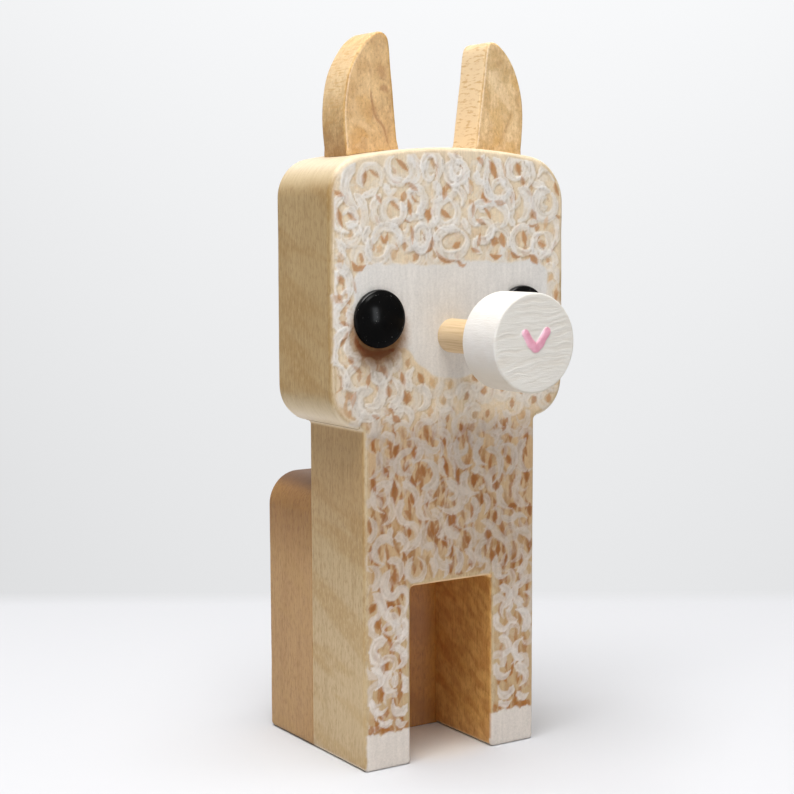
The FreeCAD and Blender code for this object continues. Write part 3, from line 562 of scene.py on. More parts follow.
    cheek_under = [
        ([(-24.2, 90.6), (-23.6, 89.9)], 1.1, R), ([(-24.8, 87.4), (-24.0, 86.8)], 1.3, R), ([(-21.2, 90.4), (-20.8, 88.6)], 0.6, R),
        ([(-23.9, 84.6), (-22.8, 84.9)], 0.7, T), ([(-23.7, 82.7), (-22.7, 82.4)], 0.8, R), ([(-22.4, 81.2), (-23.0, 80.2), (-24.0, 78.6)], 0.8, R),
        ([(-22.1, 76.3), (-21.8, 75.6)], 1.1, R), ([(-20.9, 74.6), (-20.0, 74.0)], 0.9, R), ([(-17.7, 73.6), (-18.2, 72.2), (-18.4, 71.0)], 0.9, R),
        ([(-15.3, 74.3), (-14.6, 73.2)], 1.3, R), ([(-24.6, 73.6), (-23.8, 72.6), (-23.9, 71.2), (-25.2, 70.4)], 0.5, R),
        ([(-20.9, 70.4), (-21.4, 69.0), (-21.6, 67.6)], 1.2, R), ([(-22.4, 69.8), (-23.0, 68.2), (-22.6, 66.4), (-20.8, 65.4)], 0.8, T),
        ([(-17.0, 65.8), (-16.4, 65.6)], 0.8, R), ([(-14.0, 70.6), (-13.8, 69.6)], 1.0, R), ([(-11.0, 72.9), (-10.6, 71.4)], 1.2, R),
        ([(-10.4, 69.4), (-10.2, 68.0)], 1.2, R), ([(-7.2, 72.6), (-6.6, 71.4)], 1.2, R), ([(-12.6, 65.4), (-11.8, 64.8)], 1.2, R),
        ([(-20.5, 79.6), (-19.8, 78.0), (-17.6, 76.9), (-15.0, 77.0), (-12.6, 77.6)], 1.9, R),
        ([(-20.8, 80.4), (-20.4, 78.8), (-19.0, 77.6)], 1.0, R), ([(-14.2, 77.6), (-12.6, 77.4), (-11.8, 76.2)], 0.6, R),
    ]
    leg_white = [
        ([(-17.3, 33.2), (-15.6, 31.6), (-14.9, 29.4), (-13.4, 27.6), (-13.0, 25.8)], 1.35),
        ([(-17.0, 29.0), (-18.0, 27.2), (-17.2, 25.4), (-15.4, 25.2)], 1.35), ([(-11.0, 27.8), (-10.2, 26.0), (-11.0, 24.2), (-12.8, 23.8)], 1.3),
        ([(-14.6, 24.3), (-16.8, 23.8), (-17.4, 21.8), (-16.0, 20.2), (-14.2, 20.4)], 1.6),
        ([(-12.6, 22.6), (-11.0, 21.6), (-10.8, 19.6), (-12.4, 18.6)], 1.35), ([(-17.8, 19.4), (-16.2, 18.4), (-15.8, 16.6), (-17.0, 15.2)], 1.3),
        ([(-13.6, 18.2), (-14.8, 16.6), (-14.2, 14.8), (-12.4, 14.6)], 1.4), ([(-11.2, 17.2), (-10.2, 15.6), (-10.8, 13.8)], 1.2),
        ([(-17.9, 13.6), (-17.4, 11.6), (-15.8, 10.7), (-14.4, 11.6)], 1.35), ([(-13.2, 12.8), (-12.8, 10.8), (-11.2, 10.2), (-10.2, 11.4)], 1.3),
        ([(-16.4, 9.6), (-15.0, 8.4), (-13.4, 9.0)], 1.2), ([(-12.4, 9.0), (-11.4, 7.8), (-10.2, 8.2)], 1.1),
        ([(11.2, 31.2), (13.0, 30.2), (13.4, 28.2), (12.0, 26.8)], 1.4), ([(16.6, 32.0), (14.9, 30.6), (15.0, 28.4), (16.8, 27.4)], 1.4),
        ([(10.6, 26.0), (10.4, 24.0), (12.0, 22.8), (13.6, 23.6)], 1.35), ([(15.0, 26.2), (17.0, 25.4), (17.8, 23.4), (16.6, 21.8)], 1.4),
        ([(11.0, 21.2), (12.8, 20.4), (13.4, 18.6), (12.0, 17.2)], 1.35), ([(16.8, 20.4), (15.0, 19.2), (15.0, 17.2), (16.8, 16.2)], 1.35),
        ([(10.4, 16.2), (10.6, 14.2), (12.4, 13.4), (13.8, 14.4)], 1.3), ([(14.8, 15.0), (16.8, 14.2), (17.4, 12.2), (16.0, 11.0)], 1.35),
        ([(10.8, 11.8), (11.6, 10.0), (13.4, 9.8), (14.4, 11.2)], 1.3), ([(15.4, 9.8), (16.8, 8.6), (18.2, 9.2)], 1.2), ([(11.0, 8.6), (12.6, 7.8), (14.0, 8.4)], 1.1),
    ]

    # ---- filler: more of the same wherever no curl was listed ----------------------------
    patch = [(-18.5, 93.2), (-8, 93.0), (0, 92.9), (6, 93.3), (14, 93.1), (20, 93.0), (21.8, 91.6), (22.0, 88), (21.7, 83), (20.7, 79.8), (18.5, 77.4), (14.5, 76.6),
             (11.5, 77.6), (9.6, 76.2), (7, 73.8), (4, 72.3), (0, 71.8), (-3, 72.2), (-6, 73.6), (-8.5, 76), (-10.6, 78.0), (-12.6, 77.0), (-16, 76.4),
             (-19.2, 77.6), (-20.7, 79.8), (-21.3, 84), (-21.2, 89), (-20.3, 91.8)]
    taken = []
    for pts, w in head_white + trunk_white + cheek_white + leg_white:
        q = np.asarray(pts, float)
        taken.append(q.mean(0))
    loose = []
    lay = np.random.default_rng(5)
    room = in_polygon(outline - normals(outline) * 1.5, X, Z) & ((Z < 96) | in_polygon(outline - normals(outline) * 2.3, X, Z))
    bare = blur(in_polygon(patch, X, Z).astype(float), 60) > 0.08

    def free(x, z):
        i, j = int((x - c.x0) / GRID), int((z - c.z0) / GRID)
        return room[j, i] and not bare[j, i]

    for _ in range(9000):
        x, z = lay.uniform(-25, 25), lay.uniform(7.5, 113)
        if not free(x, z) or (z < HEAD_Z0 and x < -17.6) or (33 < z < 35.2 and abs(x) < 9.6):
            continue
        if all(math.hypot(x - q[0], z - q[1]) > (2.95 if z > HEAD_Z0 else 2.7 if z > 34 else 2.3) for q in taken):
            taken.append(np.array([x, z]))
            loose.append((x, z))
    fill_white, fill_under = [], []
    for x, z in loose:
        r, a = lay.uniform(1.3, 2.1), lay.uniform(0, 360)
        sweep = lay.uniform(170, 290) * (1 if lay.random() < 0.5 else -1)
        fill_white.append((ring(x, z, r, a, a + sweep, rz=r * lay.uniform(0.85, 1.25), tilt=lay.uniform(-20, 20)), lay.uniform(1.1, 1.4)))
        ln = lay.uniform(0.4, 1.1)
        t = math.radians(lay.uniform(60, 120))
        if z > HEAD_Z0:
            fill_under.append(([(x - ln * math.cos(t) / 2, z - ln * math.sin(t) / 2), (x + ln * math.cos(t) / 2, z + ln * math.sin(t) / 2)], lay.uniform(0.8, 1.4), R if lay.random() < 0.7 else T))
    # first layer of the trunk and legs: tall tapered brown strokes on a tan ground
    for gx in np.arange(-18.0, 19.2, 1.22):
        for gz in np.arange(8.0, 63.5, 2.55):
            x, z = gx + lay.uniform(-0.55, 0.55), gz + lay.uniform(-1.2, 1.2)
            if not free(x, z) or x < -17.9 or lay.random() < 0.16 or (33 < z < 35.4 and abs(x) < 9.4):
                continue
            ln, t, bow = lay.uniform(1.0, 2.1), lay.uniform(-0.45, 0.45), lay.uniform(-0.3, 0.3)
            if z - ln < CUT_H + 0.7 and abs(x) < 9.6:
                ln = max(0.5, z - CUT_H - 0.7)
            c.stroke(R if lay.random() < 0.74 else T, [(x - t, z - ln), (x + bow, z), (x + t, z + ln)], lay.uniform(0.7, 1.15), alpha=lay.uniform(0.75, 0.98), thick=0.012,
                     head=0.4, tail=0.45, tip=0.18, dry=0.4, tone=lay.uniform(0.3, 0.66), soft=0.22)
    # a loose net of tan crescents and thin white arcs
    for _ in range(1250):
        x, z = lay.uniform(-24.8, 24.8), lay.uniform(7.2, 112.8)
        if not free(x, z) or (z < HEAD_Z0 and x < -17.8):
            continue
        low = z < HEAD_Z0
        kind, a = lay.random(), lay.uniform(0, 360)
        if kind < 0.36:
            c.stroke(T, ring(x, z, lay.uniform(0.8, 1.8), a, a + lay.uniform(60, 150)), lay.uniform(0.7, 1.3), alpha=0.42 if low else 0.36, thick=0.012, tip=0.2, tone=lay.uniform(0.3, 0.6), soft=0.22)
        elif kind < 0.86:
            c.stroke(W, ring(x, z, lay.uniform(1.0, 2.1), a, a + lay.uniform(90, 200)), lay.uniform(0.8, 1.35), alpha=lay.uniform(0.06, 0.22) if low else 0.34, thick=0.015, tip=0.25, dry=0.8, tone=lay.uniform(0.3, 0.5), soft=0.18)
        elif not low:
            ln, t = lay.uniform(0.6, 1.2), lay.uniform(-0.5, 0.5)
            c.stroke(R, [(x - t, z - ln), (x + lay.uniform(-0.25, 0.25), z), (x + t, z + ln)], lay.uniform(0.7, 1.2), alpha=0.7, thick=0.012, head=0.35, tail=0.4, tip=0.25, dry=0.4, tone=lay.uniform(0.42, 0.66), soft=0.22)

    def lay_under(items, alpha=0.9):
        for pts, w, paint in items:
            pts = np.asarray(pts, float)
            if len(pts) == 2:
                d = (pts[1] - pts[0]) / max(np.linalg.norm(pts[1] - pts[0]), 1e-6) * 0.55
                side = np.array([-d[1], d[0]]) * lay.uniform(-0.6, 0.6)
                pts = np.array([pts[0] - d, pts.mean(0) + side, pts[1] + d])
            c.stroke(paint, pts, w, alpha=alpha, thick=0.02, head=0.35, tail=0.4, tip=0.22, dry=0.3, tone=lay.uniform(0.38, 0.6), soft=0.2)

    def lay_white(items, alpha, thick, tone, wide=1.0, tail=0.35, tip=0.45, dry=0.15):
        order = lay.permutation(len(items))
        for i in order:
            pts, w = items[i]
            pts = np.asarray(pts, float)
            if lay.random() < 0.3:
                pts = pts[::-1]
            c.stroke(W, pts, w * wide * lay.uniform(0.92, 1.12), alpha=alpha * lay.uniform(0.88, 1.03), thick=thick * lay.uniform(0.7, 1.3), dry=lay.uniform(dry, dry + 0.4), tone=tone + lay.uniform(-0.1, 0.08), head=0.1, tail=tail, tip=tip, soft=0.09)

    # muzzle and brow: a smooth, nearly opaque patch with a hand-painted edge
    inside = blur(in_polygon(spline(patch + patch[:1], 0.5), X + 0.25 * noise2(X, Z, 1.4, 8), Z + 0.3 * noise2(X, Z, 1.7, 9)).astype(float), 2)
    feet_edge = 6.7 + 0.35 * noise2(X, Z * 0, 1.1, 12) + 0.25 * noise2(X, Z * 0, 0.45, 13)
    feet = smooth(0.15, -0.15, Z - feet_edge) * (Z < 9)

    lay_under(fill_under, 0.85)
    lay_white([f for f in fill_white if f[0][:, 1].mean() > HEAD_Z0], 0.72, 0.06, 0.46, wide=1.35, tail=0.4, tip=0.35, dry=0.4)
    lay_white([f for f in fill_white if f[0][:, 1].mean() <= HEAD_Z0], 0.7, 0.035, 0.42, wide=1.1, tip=0.2, tail=0.5, dry=0.2)
    # rust tufts where the coat meets the feet
    for x in list(np.arange(-18.0, -9.6, 1.15)) + list(np.arange(10.0, 18.9, 1.15)):
        x += lay.uniform(-0.3, 0.3)
        c.stroke(R, [(x, 7.9 + lay.uniform(-0.3, 0.5)), (x + lay.uniform(-0.2, 0.2), 6.9 + lay.uniform(-0.3, 0.2))], lay.uniform(0.9, 1.5), alpha=0.85, thick=0.02, tip=0.6, tone=0.5)
    grain = 0.5 + 0.10 * noise2(X * 3.0, Z * 0.25, 1.0, 14) + 0.05 * noise2(X, Z, 3.5, 15)
    c.h *= 1 - 0.93 * np.clip(inside + feet, 0, 1)
    c.wash(W, feet * 0.9, tone=grain - 0.08, height=0.02)
    c.wash(W, inside * 0.955, tone=grain - 0.01, height=0.03)
    lay_under(head_under[:], 0.88)
    lay_under(trunk_under, 0.84)
    lay_under(cheek_under, 0.8)
    lay_white(leg_white, 0.92, 0.045, 0.52, wide=1.17, tip=0.2, tail=0.45, dry=0.08)
    lay_white(trunk_white, 0.88, 0.04, 0.48, wide=1.15, tip=0.2, tail=0.45, dry=0.1)
    lay_white(cheek_white, 0.88, 0.10, 0.5, wide=1.2, tip=0.35)
    lay_white(head_white, 0.86, 0.09, 0.5, wide=1.34, tip=0.36, tail=0.34, dry=0.3)
    # what still shows inside and between the curls after the whites
    lay_under([(a, w * 0.8, k) for a, w, k in trunk_under if lay.random() < 0.75], 0.84)
    for _ in range(150):
        x, z = lay.uniform(-17.6, 18.4), lay.uniform(9.0, 64.0)
        if not free(x, z) or (33 < z < 36.0 and abs(x) < 9.8) or (z < 36 and lay.random() < 0.5):
            continue
        a = lay.choice([90, 270]) + lay.uniform(-45, 45)
        c.stroke(W, ring(x, z, lay.uniform(0.9, 1.7), a, a + lay.uniform(80, 170), rz=lay.uniform(1.2, 2.2)), lay.uniform(0.6, 1.05), alpha=lay.uniform(0.45, 0.88), thick=0.035,
                 head=0.3, tail=0.45, tip=0.2, dry=0.25, tone=lay.uniform(0.38, 0.60), soft=0.11)
    lay_under([u for u in head_under if u[1] >= 0.8], 0.66)
    lay_under([u for u in cheek_under if 0.75 <= u[1] < 1.5], 0.6)
    # fine dark lines beside the curls: partly dirt at the paint's edges, partly painted shade where the thick paint
    # steps down
    hair = Canvas(-27.0, 27.0, -0.6, 115.2, ("line",))
    for pts, w in head_white + cheek_white:
        q = spline(pts, 0.35)
        d = np.gradient(q, axis=0)
        nn = np.column_stack([-d[:, 1], d[:, 0]]) / np.maximum(np.linalg.norm(d, axis=1), 1e-6)[:, None]
        for side in (-1, 1):
            for _ in range(2):
                if lay.random() < 0.52:
                    continue
                k0 = int(lay.uniform(0, 0.7) * len(q))
                k1 = min(len(q), k0 + max(4, int(lay.uniform(0.12, 0.35) * len(q))))
                part = (q + nn * side * w * lay.uniform(0.45, 0.72))[k0:k1:2]
                if len(part) >= 3:
                    hair.stroke("line", part + lay.uniform(-0.08, 0.08, part.shape), lay.uniform(0.2, 0.3), alpha=lay.uniform(0.4, 0.95), thick=0.0, tip=0.2, dry=0.25, soft=0.3)
    # small dry crevices in the thick paint
    for x, z in [(-6.3, 98.3), (-6.0, 97.4), (-16.0, 109.0), (-3.4, 110.6), (22.4, 104.6), (2.0, 110.6)]:
        c.stroke(R, [(x - 0.3, z + 0.5), (x, z), (x + 0.35, z - 0.3)], 0.25, alpha=0.8, thick=0.0, tone=0.2)

    keep = np.clip(area * 1.0, 0, 1)
    over = blur((in_polygon(outline - normals(outline) * 0.12, X, Z) | (Z < 1.5)).astype(float), 1)
    left_limit = np.where(Z > HEAD_Z0, smooth(-25.75, -25.35, X + n1), smooth(-18.9, -18.5, X + n1))
    cut_limit = np.where((Z > CUT_H) & (np.abs(X) < BODY_W / 2 - LEG_W + 0.3), smooth(33.95, 34.25, Z + n1 * 0.4), 1.0)
    inner_leg = np.where((Z < CUT_H + 0.6) & (Z > 7.0) & (np.abs(X) < BODY_W / 2 - LEG_W + 0.75), smooth(0.25, 0.6, np.abs(X) - (BODY_W / 2 - LEG_W) + n1 * 0.3), 1.0)
    top_rim = np.where(Z > 88, dist, 1.0)
    keep = over * left_limit * cut_limit * inner_leg * smooth(0.25, 0.75, top_rim)
    side_stop = smooth(0.9, 0.45, np.abs(X)-HEAD_W / 2 + 0.9 + 0.2 * n1)
    for k in c.f:
        c.f[k] *= np.maximum(keep, whole * crown * np.where(Z > 104, 1, side_stop)) if k == "cream" else keep
    c.h *= keep
    # unevenness of hand-laid paint, and the places where it is thinly scraped
    c.h += keep * 0.012 * noise2(X, Z, 0.5, 21) + keep * 0.01 * noise2(X, Z, 1.1, 22)
    fine = blur(c.h, 1)
    # the crevice mask marks the paint's low places beside and between strokes, to be darkened: partly dirt, partly
    # painted shade
    deep = np.clip((blur(fine, 10) - fine) / 0.04, 0, 1) * 0.6 + np.clip((blur(fine, 3) - fine) / 0.014 - 0.45, 0, 1) * 0.28
    deep = np.maximum(deep, hair.f["line"])
    c.crevice = np.clip(deep, 0, 1) * keep * (0.55 + 0.45 * head) * (1 - np.clip(inside * 1.2, 0, 1))
    c.relief = fine
    return c


# =======================================================================================
# Meshes: a slab with a rounded front and back edge and a finely divided front face
# =======================================================================================


def rows_inside(outline, gx, gz, margin):
    """Grid points of a closed outline that keep a margin from it along x and along z."""
    ok = np.zeros((len(gz), len(gx)), bool)
    p, q = outline, np.roll(outline, -1, 0)
    for j, z in enumerate(gz):
        cross = (p[:, 1] > z) != (q[:, 1] > z)
        xs = np.sort(p[cross, 0] + (q[cross, 0] - p[cross, 0]) * (z - p[cross, 1]) / (q[cross, 1] - p[cross, 1]))
        for a, b in zip(xs[::2], xs[1::2]):
            ok[j] |= (gx > a + margin) & (gx < b - margin)
    ok2 = np.zeros_like(ok)
    for i, x in enumerate(gx):
        cross = (p[:, 0] > x) != (q[:, 0] > x)
        zs = np.sort(p[cross, 1] + (q[cross, 1] - p[cross, 1]) * (x - p[cross, 0]) / (q[cross, 0] - p[cross, 0]))
        for a, b in zip(zs[::2], zs[1::2]):
            ok2[:, i] |= (gz > a + margin) & (gz < b - margin)
    return ok & ok2


def cap_triangles(loop, extra=None):
    """Triangles of a closed loop, with no points of their own inside."""
    n = len(loop)
    v = [Vector(p) for p in loop]
    e = [(i, (i + 1) % n) for i in range(n)]
    verts, _, faces, orig, _, _ = geometry.delaunay_2d_cdt(v, e, [], 1, 1e-7)
    back = [o[0] if o else -1 for o in orig]
    return [tuple(back[i] for i in f) for f in faces]


def slab(name, outline, y0, y1, r_front, r_back, pitch=None, relief=None, fields=None, rings=(0.25, 0.5, 0.75), wave=0.0, steps=4):
    """Builds the slab between planes y0 (front) and y1 (back). r_front and r_back are the edge radii, one per outline
    point or one for all. relief(x, z) lifts the front face towards the viewer. fields is a list of
    (attribute name, function of (x, z, weight) giving RGBA)."""
    P = np.asarray(outline, float)
    N = normals(P)
    n = len(P)
    rf = np.broadcast_to(np.asarray(r_front, float), (n,)).copy()
    rb = np.broadcast_to(np.asarray(r_back, float), (n,)).copy()
    if wave:
        w = 1 + wave * noise2(P[:, 0], P[:, 1], 7.0, 31) + 0.5 * wave * noise2(P[:, 0], P[:, 1], 2.6, 32)
        rf, rb = rf * w, rb * w
    V, layers, paint = [], [], []

    def add(points, y, weight):
        k = len(V)
        y = np.broadcast_to(np.asarray(y, float), (n,))
        V.extend(np.column_stack([points[:, 0], y, points[:, 1]]).tolist())
        paint.extend([weight] * n)
        layers.append(k)

    for i in range(steps + 1):
        a = math.pi / 2 * i / steps
        add(P - N * (rf * (1 - math.sin(a)))[:, None], y0 + rf * (1 - math.cos(a)), 1.0)
    add(P, y0 + rf + 0.25, 0.0)
    for t in rings:
        add(P, y0 + (y1 - y0) * t, 0.0)
    add(P, y1 - rb - 0.25, 0.0)
    for i in range(steps + 1):
        a = math.pi / 2 * (1 - i / steps)
        add(P - N * (rb * (1 - math.sin(a)))[:, None], y1 - rb * (1 - math.cos(a)), 0.0)
    add(P - N * (rb + 0.3)[:, None], y1, 0.0)
    faces = []
    for a, b in zip(layers[:-1], layers[1:]):
        for i in range(n):
            j = (i + 1) % n
            faces.append((a + i, b + i, b + j, a + j))
    first, last = layers[0], layers[-1]
    # back face
    for f in cap_triangles([(V[last + i][0], V[last + i][2]) for i in range(n)]):
        pts = np.array([[V[last + i][0], V[last + i][2]] for i in f])
        area = np.cross(pts[1] - pts[0], pts[2] - pts[0])
        g = tuple(last + i for i in f)
        faces.append(g if area < 0 else g[::-1])
    # front face
    loop = np.array([[V[first + i][0], V[first + i][2]] for i in range(n)])
    if pitch is None:
        for f in cap_triangles(loop):
            pts = np.array([loop[i] for i in f])
            area = np.cross(pts[1] - pts[0], pts[2] - pts[0])
            faces.append(f if area > 0 else f[::-1])
    else:
        lo, hi = loop.min(0), loop.max(0)
        gx = np.arange(math.floor(lo[0] / pitch), math.ceil(hi[0] / pitch) + 1) * pitch
        gz = np.arange(math.floor(lo[1] / pitch), math.ceil(hi[1] / pitch) + 1) * pitch
        ok = rows_inside(loop, gx, gz, pitch * 0.55)
        cell = ok[:-1, :-1] & ok[1:, :-1] & ok[:-1, 1:] & ok[1:, 1:]
        used = np.zeros_like(ok)
        used[:-1, :-1] |= cell
        used[1:, :-1] |= cell
        used[:-1, 1:] |= cell
        used[1:, 1:] |= cell
        index = np.full(ok.shape, -1)
        jj, ii = np.nonzero(used)
        base = len(V)
        index[jj, ii] = base + np.arange(len(jj))
        y = np.full(len(jj), float(y0))
        V.extend(np.column_stack([gx[ii], y, gz[jj]]).tolist())
        paint.extend([1.0] * len(jj))
        cj, ci = np.nonzero(cell)
        quads = np.column_stack([index[cj, ci], index[cj, ci + 1], index[cj + 1, ci + 1], index[cj + 1, ci]])
        faces.extend(map(tuple, quads.tolist()))
        # strip between the grid and the rim
        edges = []
        pad = np.pad(cell, 1)
        for j, i in zip(cj, ci):
            if not pad[j, i + 1]:
                edges.append((index[j, i], index[j, i + 1]))
            if not pad[j + 2, i + 1]:
                edges.append((index[j + 1, i], index[j + 1, i + 1]))
            if not pad[j + 1, i]:
                edges.append((index[j, i], index[j + 1, i]))
            if not pad[j + 1, i + 2]:
                edges.append((index[j, i + 1], index[j + 1, i + 1]))
        rim = sorted(set(k for e in edges for k in e))
        local = {k: n + m for m, k in enumerate(rim)}
        verts = [Vector((float(a), float(b))) for a, b in loop] + [Vector((V[k][0], V[k][2])) for k in rim]
        con = [(i, (i + 1) % n) for i in range(n)] + [(local[a], local[b]) for a, b in edges]
        _, _, tri, orig, _, _ = geometry.delaunay_2d_cdt(verts, con, [], 1, 1e-7)
        back = [o[0] if o else -1 for o in orig]
        cx = {(int(j), int(i)) for j, i in zip(cj, ci)}
        for f in tri:
            g = [back[k] for k in f]
            if min(g) < 0:
                continue
            c = sum((verts[k] for k in g), Vector((0, 0))) / len(g)
            j = int(math.floor((c.y - gz[0]) / pitch))
            i = int(math.floor((c.x - gx[0]) / pitch))
            if (j, i) in cx:
                continue
            h = [k if k < n else rim[k - n] for k in g]
            a, b, d = verts[g[0]], verts[g[1]], verts[g[2]]
            area = (b.x - a.x) * (d.y - a.y) - (b.y - a.y) * (d.x - a.x)
            faces.append(tuple(h) if area > 0 else tuple(h[::-1]))
    V = np.array(V)
    paint = np.array(paint)
    if relief is not None:
        m = (V[:, 1] < y0 + 1e-6)
        V[m, 1] -= relief(V[m, 0], V[m, 2])
    mesh = bpy.data.meshes.new(name)
    mesh.from_pydata((V * MM).tolist(), [], faces)
    mesh.validate()
    for at, fn in fields or []:
        attribute = mesh.attributes.new(at, "FLOAT_COLOR", "POINT")
        attribute.data.foreach_set("color", np.clip(fn(V[:, 0], V[:, 2], paint), 0, 1).astype(np.float32).ravel())
    mesh.polygons.foreach_set("use_smooth", np.ones(len(mesh.polygons), bool))
    mesh.update()
    ob = bpy.data.objects.new(name, mesh)
    bpy.context.scene.collection.objects.link(ob)
    return ob


def lathe(name, profile, centre, segments=96):
    """profile: (radius, y) from the axis round to the axis again; the axis is parallel to Y."""
    V, F = [], []
    rows = []
    for r, y in profile:
        if r < 1e-6:
            rows.append([len(V)])
            V.append((centre[0], y, centre[1]))
        else:
            rows.append(list(range(len(V), len(V) + segments)))
            for i in range(segments):
                a = 2 * math.pi * i / segments
                V.append((centre[0] + r * math.cos(a), y, centre[1] + r * math.sin(a)))
    for a, b in zip(rows[:-1], rows[1:]):
        for i in range(segments):
            j = (i + 1) % segments
            if len(a) == 1 and len(b) == 1:
                continue
            if len(a) == 1:
                F.append((a[0], b[i], b[j]))
            elif len(b) == 1:
                F.append((a[j], a[i], b[0]))
            else:
                F.append((a[i], b[i], b[j], a[j]))
    mesh = bpy.data.meshes.new(name)
    mesh.from_pydata((np.array(V) * MM).tolist(), [], F)
    mesh.validate()
    mesh.polygons.foreach_set("use_smooth", np.ones(len(mesh.polygons), bool))
    mesh.update()
    ob = bpy.data.objects.new(name, mesh)
    bpy.context.scene.collection.objects.link(ob)
    return ob


# =======================================================================================
# Materials
# =======================================================================================


class Nodes:
    def __init__(self, name):
        self.mat = bpy.data.materials.new(name)
        self.mat.use_nodes = True
        self.t = self.mat.node_tree
        self.t.nodes.clear()
        self.out = self.t.nodes.new("ShaderNodeOutputMaterial")
        self.bsdf = self.t.nodes.new("ShaderNodeBsdfPrincipled")
        self.t.links.new(self.bsdf.outputs[0], self.out.inputs["Surface"])

    def put(self, socket, value):
        if isinstance(value, bpy.types.NodeSocket):
            self.t.links.new(value, socket)
        elif hasattr(socket, "default_value"):
            if hasattr(socket.default_value, "__len__") and not hasattr(value, "__len__"):
                value = (value,) * len(socket.default_value)
            if hasattr(socket.default_value, "__len__") and len(value) < len(socket.default_value):
                value = tuple(value) + (1.0,)
            socket.default_value = value

    def math(self, op, a, b=0.0, c=None, clamp=False):
        n = self.t.nodes.new("ShaderNodeMath")
        n.operation, n.use_clamp = op, clamp
        self.put(n.inputs[0], a)
        self.put(n.inputs[1], b)
        if c is not None:
            self.put(n.inputs[2], c)
        return n.outputs[0]

    def vec(self, op, a, b=None, scale=None):
        n = self.t.nodes.new("ShaderNodeVectorMath")
        n.operation = op
        self.put(n.inputs[0], a)
        if b is not None:
            self.put(n.inputs[1], b)
        if scale is not None:
            self.put(n.inputs["Scale"], scale)
        return n.outputs["Value"] if op in ("LENGTH", "DOT_PRODUCT", "DISTANCE") else n.outputs[0]

    def mix(self, a, b, f, kind="MIX"):
        n = self.t.nodes.new("ShaderNodeMix")
        n.data_type, n.blend_type = "RGBA", kind
        n.clamp_factor = True
        self.put(n.inputs[0], f)
        self.put(n.inputs[6], a)
        self.put(n.inputs[7], b)
        return n.outputs[2]

    def noise(self, vector, scale=1.0, detail=2.0, rough=0.5, distortion=0.0):
        n = self.t.nodes.new("ShaderNodeTexNoise")
        n.noise_dimensions = "3D"
        self.put(n.inputs["Vector"], vector)
        self.put(n.inputs["Scale"], scale)
        self.put(n.inputs["Detail"], detail)
        self.put(n.inputs["Roughness"], rough)
        self.put(n.inputs["Distortion"], distortion)
        return n.outputs[0]

    def ramp(self, value, stops, smooth_step=True):
        n = self.t.nodes.new("ShaderNodeMapRange")
        n.interpolation_type = "SMOOTHSTEP" if smooth_step else "LINEAR"
        n.clamp = True
        a, b = stops
        self.put(n.inputs["Value"], value)
        n.inputs["From Min"].default_value, n.inputs["From Max"].default_value = a, b
        return n.outputs[0]

    def coord(self, stretch=(1, 1, 1), turn=(0, 0, 0), shift=(0, 0, 0)):
        """Position on the piece in millimetres, turned and stretched."""
        if not hasattr(self, "_p"):
            self._p = self.t.nodes.new("ShaderNodeTexCoord").outputs["Object"]
        src = self._p
        if any(turn):
            r = self.t.nodes.new("ShaderNodeMapping")
            self.put(r.inputs["Vector"], src)
            r.inputs["Rotation"].default_value = tuple(math.radians(a) for a in turn)
            src = r.outputs[0]
        n = self.t.nodes.new("ShaderNodeMapping")
        self.put(n.inputs["Vector"], src)
        n.inputs["Scale"].default_value = tuple(1000.0 * s for s in stretch)
        n.inputs["Location"].default_value = shift
        return n.outputs[0]

    def parts(self, vector):
        n = self.t.nodes.new("ShaderNodeSeparateXYZ")
        self.put(n.inputs[0], vector)
        return n.outputs

    def attribute(self, name):
        n = self.t.nodes.new("ShaderNodeAttribute")
        n.attribute_name = name
        s = self.t.nodes.new("ShaderNodeSeparateColor")
        self.t.links.new(n.outputs["Color"], s.inputs[0])
        return s.outputs[0], s.outputs[1], s.outputs[2], n.outputs["Alpha"]

    def bump(self, height, strength, distance, normal=None):
        n = self.t.nodes.new("ShaderNodeBump")
        n.inputs["Strength"].default_value = strength
        n.inputs["Distance"].default_value = distance
        self.put(n.inputs["Height"], height)
        if normal is not None:
            self.put(n.inputs["Normal"], normal)
        return n.outputs[0]

    def finish(self, color, rough, normal=None, **more):
        self.put(self.bsdf.inputs["Base Color"], color)
        self.put(self.bsdf.inputs["Roughness"], rough)
        if normal is not None:
            self.put(self.bsdf.inputs["Normal"], normal)
        for k, v in more.items():
            self.put(self.bsdf.inputs[k.replace("_", " ")], v)
        return self.mat


def facing(m, axis):
    """How far the surface faces up or down the axis, 0 to 1."""
    g = m.t.nodes.new("ShaderNodeTexCoord").outputs["Normal"]
    return m.math("ABSOLUTE", m.parts(g)[axis])


